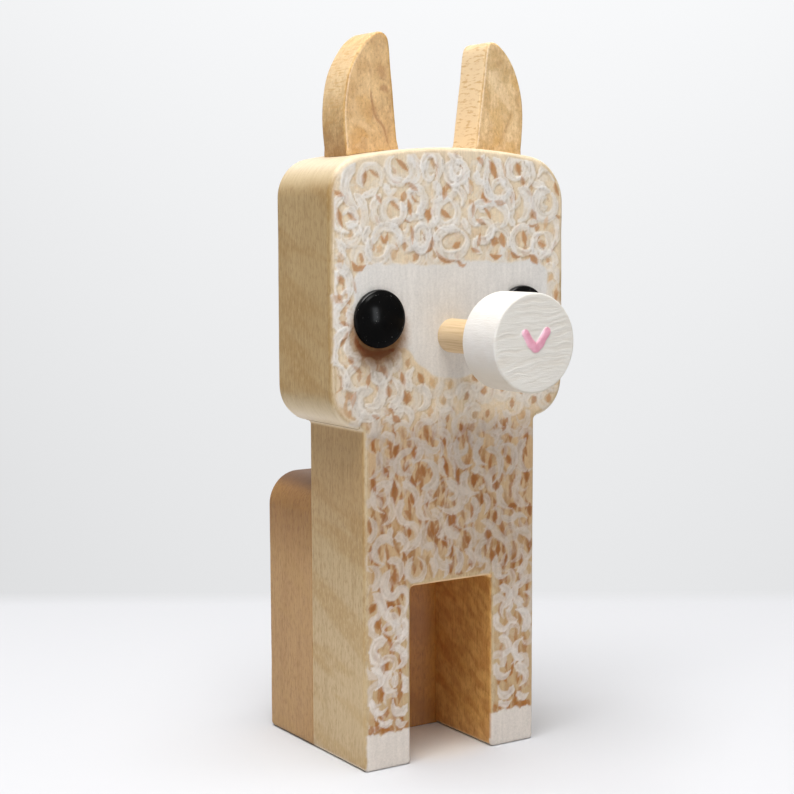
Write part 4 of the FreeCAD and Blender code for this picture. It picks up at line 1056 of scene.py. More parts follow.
def timber(m, light, mid, dark, fleck, end, seed=0.0, fleck_amount=0.5, fleck_size=(2.6, 2.6, 0.33), curl=0.5, curl_turn=(-18, 0, 0), bands=0.35, end_amount=1.0, golden=(0.46, 0.29, 0.105), shoulder=(0.55, 0.9)):
    """Solid wood with its grain along Z: growth bands, fibres, flecks, curl and end grain. Returns colour and relief."""
    sh = (seed * 13.7, seed * 5.3, seed * 9.1)
    warp = m.noise(m.coord((0.03, 0.03, 0.012), shift=sh), 1.0, 3.0, 0.55)
    p = m.parts(m.coord((1, 1, 1), shift=sh))
    # growth bands: slow wave across the plank
    across = m.math("ADD", m.math("MULTIPLY", p[0], 0.35), m.math("MULTIPLY", p[1], 0.9))
    phase = m.math("ADD", m.math("MULTIPLY", across, 0.55), m.math("MULTIPLY", warp, 16.0))
    ringv = m.math("MULTIPLY_ADD", m.math("SINE", phase), 0.5, 0.5)
    fibre = m.noise(m.coord((3.1, 3.1, 0.12), shift=sh), 1.0, 5.0, 0.66)
    coarse = m.noise(m.coord((0.55, 0.55, 0.022), shift=sh), 1.0, 3.0, 0.5)
    pores = m.noise(m.coord(fleck_size, shift=sh), 1.0, 3.0, 0.6)
    fl = m.ramp(pores, (0.56, 0.72))
    curls = m.noise(m.coord((0.05, 0.035, 0.17), turn=curl_turn, shift=sh), 1.0, 3.0, 0.5, 0.4)
    cu = m.ramp(curls, (0.48, 0.66))
    cloud = m.noise(m.coord((0.045, 0.045, 0.03), shift=sh), 1.0, 2.0, 0.5)
    c = m.mix(light, mid, m.math("MULTIPLY", ringv, bands))
    c = m.mix(c, mid, m.math("MULTIPLY", m.ramp(fibre, (0.40, 0.62)), 0.75))
    c = m.mix(c, dark, m.math("MULTIPLY", m.ramp(coarse, (0.48, 0.72)), 0.38))
    c = m.mix(c, golden, m.math("MULTIPLY", cu, 0.6 * curl))
    glint = m.noise(m.coord((1.9, 1.9, 0.7), shift=sh), 1.0, 3.0, 0.7)
    c = m.mix(c, dark, m.math("MULTIPLY", m.ramp(glint, (0.5, 0.66)), 0.62))
    c = m.mix(c, light, m.math("MULTIPLY", m.ramp(m.math("SUBTRACT", 1.0, glint), (0.5, 0.66)), 0.62))
    c = m.mix(c, light, m.math("MULTIPLY", m.ramp(cloud, (0.45, 0.75)), 0.35))
    c = m.mix(c, fleck, m.math("MULTIPLY", fl, fleck_amount))
    # end grain on top and underneath; where the given end colour is lighter than the side wood, as on the board and the
    # ears, that lightness is painted light from above
    up = m.ramp(facing(m, 2), shoulder)
    dots = m.noise(m.coord((3.2, 3.2, 3.2), shift=sh), 1.0, 3.0, 0.65)
    arcs = m.noise(m.coord((0.25, 1.4, 0.2), shift=sh), 1.0, 3.0, 0.5)
    e = m.mix(end, m.mix(end, mid, 0.6, "MULTIPLY"), m.math("MULTIPLY", m.ramp(arcs, (0.4, 0.7)), 0.3))
    e = m.mix(e, fleck, m.math("MULTIPLY", m.ramp(dots, (0.55, 0.75)), 0.35))
    c = m.mix(c, e, m.math("MULTIPLY", up, end_amount))
    relief = m.math("ADD", m.math("MULTIPLY", fibre, 0.6), m.math("MULTIPLY", fl, -0.35))
    return c, relief, fibre, coarse, cu


EYE_X = (eyes["right"][0][0] + eyes["right"][1][0]) / 2
EYE_Z = (eyes["right"][0][2] + eyes["right"][1][2]) / 2
EYE_R = (eyes["right"][1][0] - eyes["right"][0][0]) / 2


def board_material(with_paint=True):
    m = Nodes("maple_board_with_painted_coat")
    # the pale end colour, reaching even faces tilted only a little upwards, is painted light on the head's top
    wood, relief, fibre, coarse, cu = timber(
        m, light=(0.58, 0.435, 0.245), mid=(0.475, 0.335, 0.168), dark=(0.375, 0.235, 0.098), fleck=(0.30, 0.18, 0.08), end=(0.78, 0.66, 0.485),
        seed=1.0, fleck_amount=0.25, curl=1.0, end_amount=0.9, golden=(0.43, 0.26, 0.085), shoulder=(0.08, 0.58),
    )
    # the narrow sides are darker from the middle of the trunk upwards: painted shade, as the lower sides take more
    # light from the table
    flank = m.math("MULTIPLY", m.ramp(facing(m, 0), (0.6, 0.9)), m.ramp(m.parts(m.coord((1, 1, 1)))[2], (26.0, 62.0)))
    wood = m.mix(wood, m.mix(wood, (0.84, 0.79, 0.66), 1.0, "MULTIPLY"), flank)
    height = m.parts(m.coord((1, 1, 1)))[2]
    # just under the head's overhang the sides of the trunk are darker again: painted shade
    painted_neck_shade = m.math("MULTIPLY", m.ramp(facing(m, 0), (0.6, 0.9)), m.math("MULTIPLY", m.ramp(height, (38.0, 54.0)), m.math("SUBTRACT", 1.0, m.ramp(height, (62.0, 66.0)))))
    wood = m.mix(wood, m.mix(wood, (0.98, 0.905, 0.83), 1.0, "MULTIPLY"), painted_neck_shade)
    # the lowest parts of the sides are lighter and cooler: painted light bounced from the table
    base = m.math("MULTIPLY", m.ramp(facing(m, 0), (0.6, 0.9)), m.math("SUBTRACT", 1.0, m.ramp(height, (14.0, 40.0))))
    wood = m.mix(wood, m.mix(wood, (1.07, 1.08, 1.11), 1.0, "MULTIPLY"), base)
    # faces inside the cut-out are made warmer and darker with a blotchy multiply: partly painted warm shade of the
    # recess
    q = m.parts(m.coord((1, 1, 1)))
    inside = m.math("MULTIPLY", m.ramp(m.math("MULTIPLY", m.math("ABSOLUTE", q[0]), -1.0), (-9.5, -9.22)), m.ramp(m.math("MULTIPLY", q[2], -1.0), (-34.4, -33.4)))
    mot = m.noise(m.coord((0.2, 0.22, 0.5), turn=(-35, 0, 0), shift=(3, 1, 7)), 1.0, 4.0, 0.6, 0.4)
    deep = m.mix((1.0, 0.62, 0.25), (1.32, 1.0, 0.52), m.ramp(mot, (0.36, 0.66)))
    wood = m.mix(wood, m.mix(wood, deep, 1.0, "MULTIPLY"), m.math("MULTIPLY", inside, 0.85))
    w, t, r, cr = m.attribute("coat")
    tone, crev, _, _ = m.attribute("coat_tone")
    speck = m.noise(m.coord((2.4, 2.4, 2.4)), 1.0, 4.0, 0.75)
    brush = m.noise(m.coord((1.6, 1.6, 0.5)), 1.0, 3.0, 0.6)
    gain = m.math("ADD", m.math("MULTIPLY_ADD", tone, 0.56, 0.72), m.math("MULTIPLY_ADD", speck, 0.44, -0.22))
    grain = m.math("MULTIPLY_ADD", m.ramp(fibre, (0.3, 0.75)), -0.13, 1.06)
    z = m.parts(m.coord((1, 1, 1)))[2]
    low = m.ramp(m.math("MULTIPLY", z, -1.0), (-67.0, -61.0))
    # the trunk's paints are darker than the legs', and its whites darker still towards the chest: painted shade under
    # the head and nose
    legs = m.ramp(m.math("MULTIPLY", z, -1.0), (-40.0, -24.0))
    painted_chest_shade = m.ramp(z, (46.0, 60.0))
    white = m.mix((0.755, 0.725, 0.69), m.mix(m.mix((0.56, 0.475, 0.395), (0.50, 0.43, 0.365), painted_chest_shade), (0.71, 0.65, 0.595), legs), low)
    white = m.mix(white, (0.79, 0.73, 0.675), m.ramp(m.math("MULTIPLY", z, -1.0), (-7.6, -6.6)))
    cream = m.mix((0.79, 0.65, 0.455), m.mix((0.52, 0.335, 0.175), (0.56, 0.375, 0.20), legs), low)
    cream = m.mix(cream, m.mix((0.70, 0.53, 0.34), (0.46, 0.27, 0.13), low), m.math("MULTIPLY", m.ramp(brush, (0.45, 0.75)), 0.4))
    tan = m.mix((0.60, 0.375, 0.185), m.mix((0.39, 0.212, 0.075), (0.48, 0.275, 0.115), legs), low)
    rust = m.mix((0.46, 0.195, 0.036), m.mix((0.285, 0.095, 0.012), (0.36, 0.128, 0.018), legs), low)
    total = m.math("ADD", m.math("ADD", w, t), m.math("ADD", r, cr), clamp=True)
    c = m.vec("SCALE", wood, scale=m.math("SUBTRACT", 1.0, total, clamp=True))
    for k, col in ((w, m.mix((0, 0, 0), white, 1.0)), (t, tan), (r, rust), (cr, m.vec("SCALE", cream, scale=grain))):
        c = m.vec("ADD", c, m.vec("SCALE", m.vec("SCALE", col, scale=gain), scale=k))
    # the paint of the cheeks under the muzzle is darker than the crown's: painted shade
    painted_cheek_shade = m.math("MULTIPLY", m.math("SUBTRACT", 1.0, m.ramp(z, (68.0, 82.0))), m.math("MULTIPLY", m.math("SUBTRACT", 1.0, low), total))
    c = m.mix(c, m.mix(c, (0.86, 0.82, 0.765), 1.0, "MULTIPLY"), painted_cheek_shade)
    # paint darker where the crevice mask is: partly dust, partly painted shade
    dust_and_crevice_shade = m.math("MULTIPLY", crev, m.math("MULTIPLY", total, 0.62))
    c = m.mix(c, m.mix(c, (0.34, 0.24, 0.15), 1.0, "MULTIPLY"), dust_and_crevice_shade)
    # painted shadow of each eye on the face: dark brown close under the eye, and a wider, paler shade below it
    ex = m.math("ADD", m.math("ABSOLUTE", q[0]), -EYE_X)
    ez = m.math("ADD", q[2], -(EYE_Z - 2.4))
    eye_gap = m.math("SQRT", m.math("ADD", m.math("MULTIPLY", ex, ex), m.math("MULTIPLY", ez, ez)))
    ahead = m.ramp(m.math("MULTIPLY", q[1], -1.0), (4.6, 5.0))
    patchy = m.math("MULTIPLY_ADD", m.noise(m.coord((1.1, 1.1, 1.1)), 1.0, 3.0, 0.6), 1.6, -0.8)
    eye_gap = m.math("ADD", eye_gap, patchy)
    painted_eye_shadow = m.math("MULTIPLY", m.math("SUBTRACT", 1.0, m.ramp(eye_gap, (EYE_R - 1.2, EYE_R + 2.3))), ahead)
    lz = m.math("ADD", q[2], -(EYE_Z - 4.8))
    low_gap = m.math("ADD", m.math("SQRT", m.math("ADD", m.math("MULTIPLY", ex, ex), m.math("MULTIPLY", lz, lz))), patchy)
    painted_shade_below_eye = m.math("MULTIPLY", m.math("SUBTRACT", 1.0, m.ramp(low_gap, (2.8, 7.8))), ahead)
    c = m.mix(c, m.mix(c, (0.475, 0.25, 0.085), 1.0, "MULTIPLY"), m.math("MULTIPLY", painted_eye_shadow, 0.95))
    c = m.mix(c, m.mix(c, (0.47, 0.39, 0.30), 1.0, "MULTIPLY"), m.math("MULTIPLY", painted_shade_below_eye, 0.85))
    n1 = m.bump(relief, 0.22, 0.0001)
    n2 = m.bump(m.math("ADD", speck, m.math("MULTIPLY", brush, 0.8)), 0.22, 0.00012)
    nrm = m.t.nodes.new("ShaderNodeMix")
    nrm.data_type = "VECTOR"
    m.put(nrm.inputs[0], total)
    m.put(nrm.inputs[4], n1)
    m.put(nrm.inputs[5], n2)
    rough = m.math("ADD", m.math("MULTIPLY_ADD", total, 0.14, 0.44), m.math("MULTIPLY_ADD", fibre, 0.16, -0.08))
    gloss = m.math("MULTIPLY_ADD", m.math("MULTIPLY", total, low), -0.24, 0.38)
    # the paint's sheen is also taken out under the painted eye shadow
    gloss = m.math("MULTIPLY", gloss, m.math("MULTIPLY_ADD", painted_eye_shadow, -0.9, 1.0))
    return m.finish(c, rough, nrm.outputs[1], Specular_IOR_Level=gloss)


def block_material():
    m = Nodes("beech_block")
    c, relief, fibre, coarse, cu = timber(
        m, light=(0.53, 0.335, 0.165), mid=(0.45, 0.265, 0.12), dark=(0.34, 0.18, 0.07), fleck=(0.27, 0.13, 0.048), end=(0.235, 0.125, 0.055),
        seed=2.0, fleck_amount=0.6, fleck_size=(3.0, 3.0, 0.42), curl=0.5, bands=0.45,
    )
    # broad cathedral arcs on the wide face
    p = m.parts(m.coord((1, 1, 1)))
    face = m.ramp(facing(m, 1), (0.6, 0.9))
    d = m.math("MULTIPLY_ADD", m.math("POWER", m.math("ABSOLUTE", m.math("ADD", p[0], 2.0)), 2.0), 0.06, p[2])
    wob = m.noise(m.coord((0.08, 0.08, 0.03)), 1.0, 3.0, 0.5)
    arcs = m.math("MULTIPLY_ADD", m.math("SINE", m.math("ADD", m.math("MULTIPLY", d, 0.34), m.math("MULTIPLY", wob, 9.0))), 0.5, 0.5)
    c = m.mix(c, (0.35, 0.19, 0.075), m.math("MULTIPLY", m.math("MULTIPLY", face, m.ramp(arcs, (0.55, 1.0))), 0.45))
    # the face towards the board, seen only through the cut-out, is made warmer and darker: partly painted shade and
    # warm bounce of the recess
    front = m.math("MULTIPLY", face, m.ramp(m.math("MULTIPLY", p[1], -1.0), (-14.2, -13.8)))
    c = m.mix(c, m.mix(c, (1.25, 0.90, 0.56), 1.0, "MULTIPLY"), m.math("MULTIPLY", front, 0.9))
    c = m.mix(c, m.mix(c, (0.90, 0.86, 0.42), 1.0, "MULTIPLY"), front)
    # sides: warmer, and darker near the shoulder
    flank = m.ramp(facing(m, 0), (0.4, 0.9))
    c = m.mix(c, m.mix(c, (0.95, 0.90, 0.76), 1.0, "MULTIPLY"), flank)
    high = m.ramp(p[2], (30.0, 48.0))
    c = m.mix(c, m.mix(c, (0.66, 0.55, 0.36), 1.0, "MULTIPLY"), m.math("MULTIPLY", high, m.math("SUBTRACT", 1.0, face)))
    rough = m.math("MULTIPLY_ADD", fibre, 0.2, 0.36)
    return m.finish(c, rough, m.bump(relief, 0.25, 0.0001), Specular_IOR_Level=0.38)


def ear_material(name, seed):
    m = Nodes("maple_ear_" + name)
    c, relief, fibre, coarse, cu = timber(
        m, light=(0.74, 0.50, 0.235), mid=(0.64, 0.40, 0.16), dark=(0.47, 0.265, 0.09), fleck=(0.38, 0.21, 0.075), end=(0.78, 0.60, 0.38),
        seed=seed, fleck_amount=0.28, fleck_size=(1.9, 1.9, 0.8), curl=0.8, curl_turn=(25, 30, 0), end_amount=0.8,
    )
    dark, amber, light, line = m.attribute("figure")
    mott = m.noise(m.coord((0.34, 0.34, 0.26), turn=(0, 35, 0), shift=(seed, 0, 0)), 1.0, 4.0, 0.6, 0.5)
    c = m.mix(c, (0.82, 0.585, 0.29), m.math("MULTIPLY", m.ramp(mott, (0.48, 0.66)), 0.55))
    c = m.mix(c, (0.54, 0.305, 0.085), m.math("MULTIPLY", m.ramp(m.math("SUBTRACT", 1.0, mott), (0.48, 0.66)), 0.5))
    c = m.mix(c, (0.60, 0.325, 0.065), m.math("MULTIPLY", amber, 0.95))
    c = m.mix(c, (0.88, 0.655, 0.37), m.math("MULTIPLY", light, 0.8))
    c = m.mix(c, (0.40, 0.175, 0.035), m.math("MULTIPLY", dark, 0.95))
    # fine sandy grain
    grit = m.noise(m.coord((2.1, 2.1, 1.5), shift=(seed, 4, 2)), 1.0, 3.0, 0.7)
    c = m.mix(c, m.mix(c, (0.66, 0.55, 0.40), 1.0, "MULTIPLY"), m.math("MULTIPLY", m.ramp(grit, (0.52, 0.68)), 0.6))
    c = m.mix(c, m.mix(c, (1.25, 1.28, 1.34), 1.0, "MULTIPLY"), m.math("MULTIPLY", m.ramp(m.math("SUBTRACT", 1.0, grit), (0.52, 0.68)), 0.6))
    # short cross flecks on the narrow edges
    side = m.ramp(facing(m, 0), (0.6, 0.9))
    # upper parts of the narrow sides lighter: painted light from above; on the right ear this covers the whole inner
    # side, which is partly lighter edge grain
    high = m.ramp(m.parts(m.coord((1, 1, 1)))[2], (118.0, 127.0) if name == "left" else (108.0, 113.0))
    c = m.mix(c, (0.88, 0.68, 0.43), m.math("MULTIPLY", m.math("MULTIPLY", side, high), 0.45 if name == "left" else 0.9))
    cross = m.noise(m.coord((1.0, 0.45, 2.6), shift=(seed, 2, 0)), 1.0, 3.0, 0.6)
    c = m.mix(c, (0.60, 0.35, 0.12), m.math("MULTIPLY", m.math("MULTIPLY", side, m.ramp(cross, (0.50, 0.66))), 0.7))
    if name == "left":
        # lower part of the left ear's narrow sides darker: painted shade
        foot = m.math("SUBTRACT", 1.0, m.ramp(m.parts(m.coord((1, 1, 1)))[2], (113.0, 122.0)))
        c = m.mix(c, m.mix(c, (0.72, 0.65, 0.60), 1.0, "MULTIPLY"), m.math("MULTIPLY", side, foot))
        c = m.mix(c, m.mix(c, (1.0, 0.94, 0.80), 1.0, "MULTIPLY"), m.math("SUBTRACT", 1.0, side))
    else:
        c = m.mix(c, m.mix(c, (1.1, 1.14, 1.22), 1.0, "MULTIPLY"), m.math("SUBTRACT", 1.0, side))
    rough = m.math("MULTIPLY_ADD", fibre, 0.2, 0.34)
    return m.finish(c, rough, m.bump(relief, 0.2, 0.0001), Specular_IOR_Level=0.42)


def dowel_material():
    m = Nodes("birch_dowel")
    fibre = m.noise(m.coord((2.6, 0.08, 2.6)), 1.0, 4.0, 0.6)
    cloud = m.noise(m.coord((0.1, 0.05, 0.1)), 1.0, 2.0, 0.5)
    c = m.mix((0.70, 0.52, 0.31), (0.52, 0.35, 0.18), m.ramp(fibre, (0.35, 0.75)))
    c = m.mix(c, (0.76, 0.60, 0.40), m.math("MULTIPLY", m.ramp(cloud, (0.4, 0.7)), 0.4))
    return m.finish(c, m.math("MULTIPLY_ADD", fibre, 0.2, 0.42), m.bump(fibre, 0.3, 0.0001), Specular_IOR_Level=0.35)


def nose_material():
    m = Nodes("white_paint_on_wood")
    pink, ridge, _, _ = m.attribute("mark")
    fine = m.noise(m.coord((0.45, 0.45, 3.6)), 1.0, 4.0, 0.65)
    spots = m.noise(m.coord((0.3, 0.3, 0.5)), 1.0, 3.0, 0.5)
    c = m.mix((0.80, 0.775, 0.745), (0.74, 0.70, 0.65), m.math("MULTIPLY", m.ramp(spots, (0.4, 0.75)), 0.5))
    c = m.mix(c, (0.66, 0.62, 0.57), m.math("MULTIPLY", m.ramp(fine, (0.55, 0.8)), 0.16))
    c = m.mix(c, (0.70, 0.62, 0.53), m.math("MULTIPLY", ridge, 0.30))
    # the front face a little darker and warmer than the rim: painted shade
    c = m.mix(c, m.mix(c, (0.95, 0.94, 0.895), 1.0, "MULTIPLY"), m.ramp(facing(m, 1), (0.7, 0.95)))
    # the downward-facing part of the rim darker and warmer: painted shade
    under = m.ramp(m.math("MULTIPLY", m.parts(m.t.nodes.new("ShaderNodeTexCoord").outputs["Normal"])[2], -1.0), (0.0, 0.75))
    c = m.mix(c, m.mix(c, (0.82, 0.775, 0.69), 1.0, "MULTIPLY"), under)
    tint = m.mix((0.86, 0.40, 0.52), (0.78, 0.31, 0.42), m.ramp(m.noise(m.coord((0.9, 0.9, 0.9)), 1.0, 2.0, 0.5), (0.4, 0.7)))
    c = m.mix(c, tint, pink)
    rough = m.math("MULTIPLY_ADD", pink, -0.12, m.math("MULTIPLY_ADD", fine, 0.15, 0.38))
    return m.finish(c, rough, m.bump(fine, 0.55, 0.00014), Specular_IOR_Level=0.45)


def eye_material():
    m = Nodes("gloss_black_moulded")
    dust = m.noise(m.coord((2.2, 2.2, 2.2)), 1.0, 2.0, 0.5)
    d = m.ramp(dust, (0.69, 0.75))
    swirl = m.noise(m.coord((0.5, 0.5, 0.5)), 1.0, 3.0, 0.6)
    c = m.mix((0.0035, 0.0038, 0.0045), (0.006, 0.0055, 0.005), swirl)
    c = m.mix(c, (0.20, 0.20, 0.19), m.math("MULTIPLY", d, 0.6))
    rough = m.math("ADD", m.math("MULTIPLY_ADD", swirl, 0.06, 0.16), m.math("MULTIPLY", d, 0.3))
    lw = m.t.nodes.new("ShaderNodeLayerWeight")
    lw.inputs["Blend"].default_value = 0.5
    g = m.parts(m.t.nodes.new("ShaderNodeTexCoord").outputs["Normal"])
    above = m.ramp(m.math("ADD", m.math("MULTIPLY", g[2], 0.8), m.math("MULTIPLY", g[0], -0.6)), (0.1, 0.75))
    shoulder = m.ramp(m.math("SUBTRACT", 1.0, m.math("ABSOLUTE", g[1])), (0.15, 0.40))
    level = m.math("ADD", m.math("MULTIPLY_ADD", m.math("MULTIPLY", above, shoulder), 0.26, 0.014), m.math("MULTIPLY", m.math("MULTIPLY", above, m.ramp(lw.outputs["Facing"], (0.5, 0.9))), 0.5))
    return m.finish(c, rough, m.bump(swirl, 0.04, 0.0001), Specular_IOR_Level=level)


# =======================================================================================
# The object
# =======================================================================================
canvas = paint_face()
half_head, half_body = HEAD_W / 2, BODY_W / 2


def coat(x, z, weight):
    f = [canvas.sample(canvas.f[k], x, z) for k in ("white", "tan", "rust", "cream")]
    return np.column_stack(f) * weight[:, None]


def coat_tone(x, z, weight):
    t, c = canvas.sample(canvas.tone, x, z), canvas.sample(canvas.crevice, x, z)
    return np.column_stack([t, c * weight, c * 0, c * 0 + 1])


outline = board_outline()
back_r = np.where(outline[:, 1] > HEAD_Z0 + 0.9, 0.5, 0.12)
board = slab(
    "front_board_painted", outline, Y_FACE, Y_JOINT, np.where(outline[:, 1] < 1.0, ARRIS * 0.55, ARRIS * (0.74 + 0.26 * smooth(HEAD_Z0 - 1.5, HEAD_Z0 + 1.5, outline[:, 1]))), back_r, pitch=0.23, rings=(0.2, 0.4, 0.6, 0.8), wave=0.16, steps=3,
    relief=lambda x, z: canvas.sample(canvas.relief, x, z), fields=[("coat", coat), ("coat_tone", coat_tone)],
)
board.data.materials.append(board_material())
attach(board, "root")
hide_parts("front_board")

block = slab("rear_body_block_wood", block_outline(), block_lo[1], block_hi[1], 0.12, ARRIS, rings=(0.25, 0.5, 0.75), wave=0.12, steps=4)
block.data.materials.append(block_material())
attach(block, "root")
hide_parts("rear_body_block")

# ---- ears --------------------------------------------------------------------------------
for name, spec in EARS.items():
    lo, hi = ears[name]
    o = ear_outline(spec)
    k = Canvas(lo[0] - 1, hi[0] + 1, lo[2] - 1, hi[2] + 1, ("dark", "amber", "light"))
    X, Z = k.X, k.Z
    if name == "left":
        k.stroke("light", [(-17.4, 119), (-15.4, 124), (-13.6, 128)], 2.6, alpha=0.35, soft=0.5)
        k.stroke("amber", [(-16.6, 122.6), (-14.8, 121.0), (-14.4, 118.8)], 3.6, alpha=0.55, soft=0.5, dry=0.1)
        k.stroke("amber", [(-17.6, 114.6), (-16.0, 116.6), (-14.8, 116.0)], 2.4, alpha=0.75, soft=0.5, dry=0.1)
        k.stroke("amber", [(-17.8, 113.0), (-16.6, 113.6)], 2.0, alpha=0.7, soft=0.5)
        k.stroke("light", [(-18.4, 118.6), (-16.6, 118.6), (-14.8, 117.6), (-13.2, 117.0)], 1.2, alpha=0.5, soft=0.5)
        k.stroke("dark", [(-14.4, 129.4), (-13.8, 127.0), (-13.9, 124.4)], 0.45, alpha=0.4, tip=0.3, soft=0.4, dry=0.4)
        k.stroke("dark", [(-13.9, 124.6), (-13.8, 123.0), (-13.4, 121.2), (-12.7, 119.2), (-11.6, 118.2), (-10.8, 116.6), (-10.2, 114.6), (-9.4, 113.4)], 0.42, alpha=1.0, tip=0.35, soft=0.2, dry=0.35)
        k.stroke("dark", [(-13.4, 121.6), (-12.6, 119.6), (-11.7, 118.6)], 1.0, alpha=0.4, soft=0.5)
        k.stroke("dark", [(-11.8, 128.6), (-11.2, 126.8), (-10.6, 126.0)], 1.5, alpha=0.5, soft=0.6)
        k.stroke("dark", [(-11.9, 124.4), (-11.0, 124.9), (-10.3, 123.8)], 0.9, alpha=0.7, soft=0.5)
        k.stroke("dark", [(-12.5, 131.6), (-12.4, 130.2)], 1.2, alpha=0.3, soft=0.7)
    else:
        k.stroke("light", [(12.6, 128.6), (14.4, 126.6), (15.8, 124.4), (17.2, 122.0)], 2.6, alpha=0.6, soft=0.5)
        k.stroke("light", [(17.2, 117.2), (16.2, 114.4)], 2.4, alpha=0.3, soft=0.5)
        k.stroke("amber", [(12.6, 121.4), (14.4, 119.6), (14.6, 116.8), (13.4, 114.6)], 2.8, alpha=0.5, soft=0.5)
        k.stroke("amber", [(17.8, 128.2), (19.2, 125.6)], 1.8, alpha=0.55, soft=0.5)
        k.stroke("amber", [(16.8, 115.4), (18.4, 113.6)], 2.6, alpha=0.5, soft=0.5)
        k.stroke("dark", [(14.2, 130.6), (15.0, 129.6)], 1.6, alpha=0.35, soft=0.7)
        k.stroke("dark", [(17.7, 121.6), (17.0, 119.4), (15.6, 116.8), (14.6, 114.6)], 0.5, alpha=0.45, soft=0.6)
        k.stroke("dark", [(18.6, 124.6), (19.4, 122.4)], 0.9, alpha=0.4, soft=0.6)
    dist_foot = np.abs(np.hypot(o[:, 0] - CROWN_X, o[:, 1] - CROWN_CZ) - CROWN_R - 0.05)
    on_foot = dist_foot < 0.03
    radius = np.where(on_foot, 0.08, 0.6 * smooth(0.0, 2.2, dist_foot) + 0.08)
    radius = np.minimum(radius, 0.6)

    def figure(x, z, weight, k=k):
        f = [k.sample(k.f[q], x, z) for q in ("dark", "amber", "light")]
        return np.column_stack(f + [weight * 0]) * weight[:, None]

    ear = slab(name + "_ear_wood", o, lo[1], hi[1], radius, radius, pitch=0.17, rings=(0.33, 0.66), wave=0.15, steps=5, fields=[("figure", figure)],
               relief=lambda x, z: 0.015 * noise2(x, z, 2.0, 41))
    ear.data.materials.append(ear_material(name, 3.0 if name == "left" else 5.0))
    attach(ear, "root")
    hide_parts(name + "_ear")

# ---- nose disc and its peg ---------------------------------------------------------------
nose_outline = np.array(arc((0.0, NOSE_Z), NOSE_D / 2, 0, 360, 0.26))
V_MARK = np.array([(-2.05, NOSE_Z + 1.75), (-1.05, NOSE_Z + 0.35), (0.1, NOSE_Z - 0.85), (0.4, NOSE_Z - 0.8), (1.55, NOSE_Z + 0.5), (2.6, NOSE_Z + 1.95)])


def v_distance(x, z):
    """Distance to the middle line of the small mark on the nose, in stroke half widths."""
    best = np.full(np.shape(x), 1e9)
    for (a, b), (c, d) in zip(V_MARK[:-1], V_MARK[1:]):
        vx, vz = c - a, d - b
        t = np.clip(((x - a) * vx + (z - b) * vz) / (vx * vx + vz * vz), 0, 1)
        best = np.minimum(best, np.hypot(x - a - t * vx, z - b - t * vz))
    return best / (0.79 + 0.06 * noise2(x, z, 0.9, 52) + 0.17 * np.exp(-(((z - NOSE_Z + 0.55) / 0.7) ** 2)))


def nose_waves(x, z):
    """Raised, slightly wavy grain under the paint."""
    bend = 0.9 * noise2(x, z, 5.0, 53) + 0.25 * noise2(x, z, 1.7, 54)
    u = (z + bend - 0.1 * x) * 7.0
    g = noise2(u * 1.0, x * 0.35, 2.2, 55) * 0.6 + noise2(u * 1.9, x * 0.5, 2.0, 56) * 0.4
    return g


def nose_relief(x, z):
    rad = np.hypot(x, z - NOSE_Z)
    v = v_distance(x, z)
    lift = 0.17 * np.sqrt(np.clip(1 - np.minimum(v, 1) ** 2, 0, 1)) + 0.03 * (1 - smooth(0.8, 1.5, v))
    return (0.042 * nose_waves(x, z) * (1 - smooth(NOSE_D / 2 - 1.4, NOSE_D / 2 - 0.6, rad)) * smooth(0.8, 1.3, v) + lift)


def nose_mark(x, z, weight):
    v = v_distance(x, z)
    p = (1 - smooth(0.82, 1.12, v)) * weight
    g = smooth(0.1, -0.7, nose_waves(x, z)) * weight
    return np.column_stack([p, g, p * 0, p * 0 + 1])


nose = slab("nose_disc_painted", nose_outline, nose_lo[1], nose_hi[1], 0.4, 0.4, pitch=0.12, rings=(0.25, 0.5, 0.75), steps=5,
            relief=nose_relief, fields=[("mark", nose_mark)], wave=0.1)
nose.data.materials.append(nose_material())
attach(nose, "root")
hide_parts("nose_disc")

peg_r = (peg_hi[0] - peg_lo[0]) / 2
span = peg_hi[1] - peg_lo[1]
profile = [(0, peg_lo[1]), (peg_r - 0.3, peg_lo[1]), (peg_r, peg_lo[1] + 0.3)]
for i in range(1, 24):
    t = i / 24
    profile.append((peg_r - 0.02 * (1 + math.sin(i * 2.1)), peg_lo[1] + 0.3 + (span - 0.6) * t))
profile += [(peg_r, peg_hi[1] - 0.3), (peg_r - 0.3, peg_hi[1]), (0, peg_hi[1])]
peg = lathe("nose_peg_dowel", profile, (0.0, (peg_lo[2] + peg_hi[2]) / 2), 72)
wood_dowel = dowel_material()
peg.data.materials.append(wood_dowel)
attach(peg, "root")
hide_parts("nose_peg")

# ---- eyes --------------------------------------------------------------------------------
black = eye_material()
for name, (lo, hi) in eyes.items():
    r = (hi[0] - lo[0]) / 2
    cx, cz = (lo[0] + hi[0]) / 2, (lo[2] + hi[2]) / 2
    front, rim, foot = lo[1], 1.0, Y_FACE - 0.02
    cap_h = foot - front - rim
    big = (r * r + cap_h * cap_h) / (2 * cap_h)
    prof = [(0, hi[1]), (1.6, hi[1]), (1.75, hi[1] - 0.2), (1.75, foot), (r - 0.12, foot), (r, foot - 0.12), (r, foot - rim * 0.3)]
    # rim, a small round arris, then the dome
    ar = 0.8
    for i in range(11):
        a = math.pi / 2 * i / 10 * 0.72
        prof.append((r - ar * (1 - math.cos(a)), foot - rim + ar * 0.69 - ar * math.sin(a)))
    for i in range(1, 27):
        q = (r - 0.5) * (1 - i / 26)
        prof.append((q, foot - rim - (math.sqrt(max(big * big - q * q, 0)) - (big - cap_h))))
    prof = [(max(a, 0.0), b) for a, b in prof]
    eye = lathe(name + "_eye_dome", prof[::-1], (cx, cz), 112)
    eye.data.materials.append(black)
    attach(eye, "root")
    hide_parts(name + "_eye")

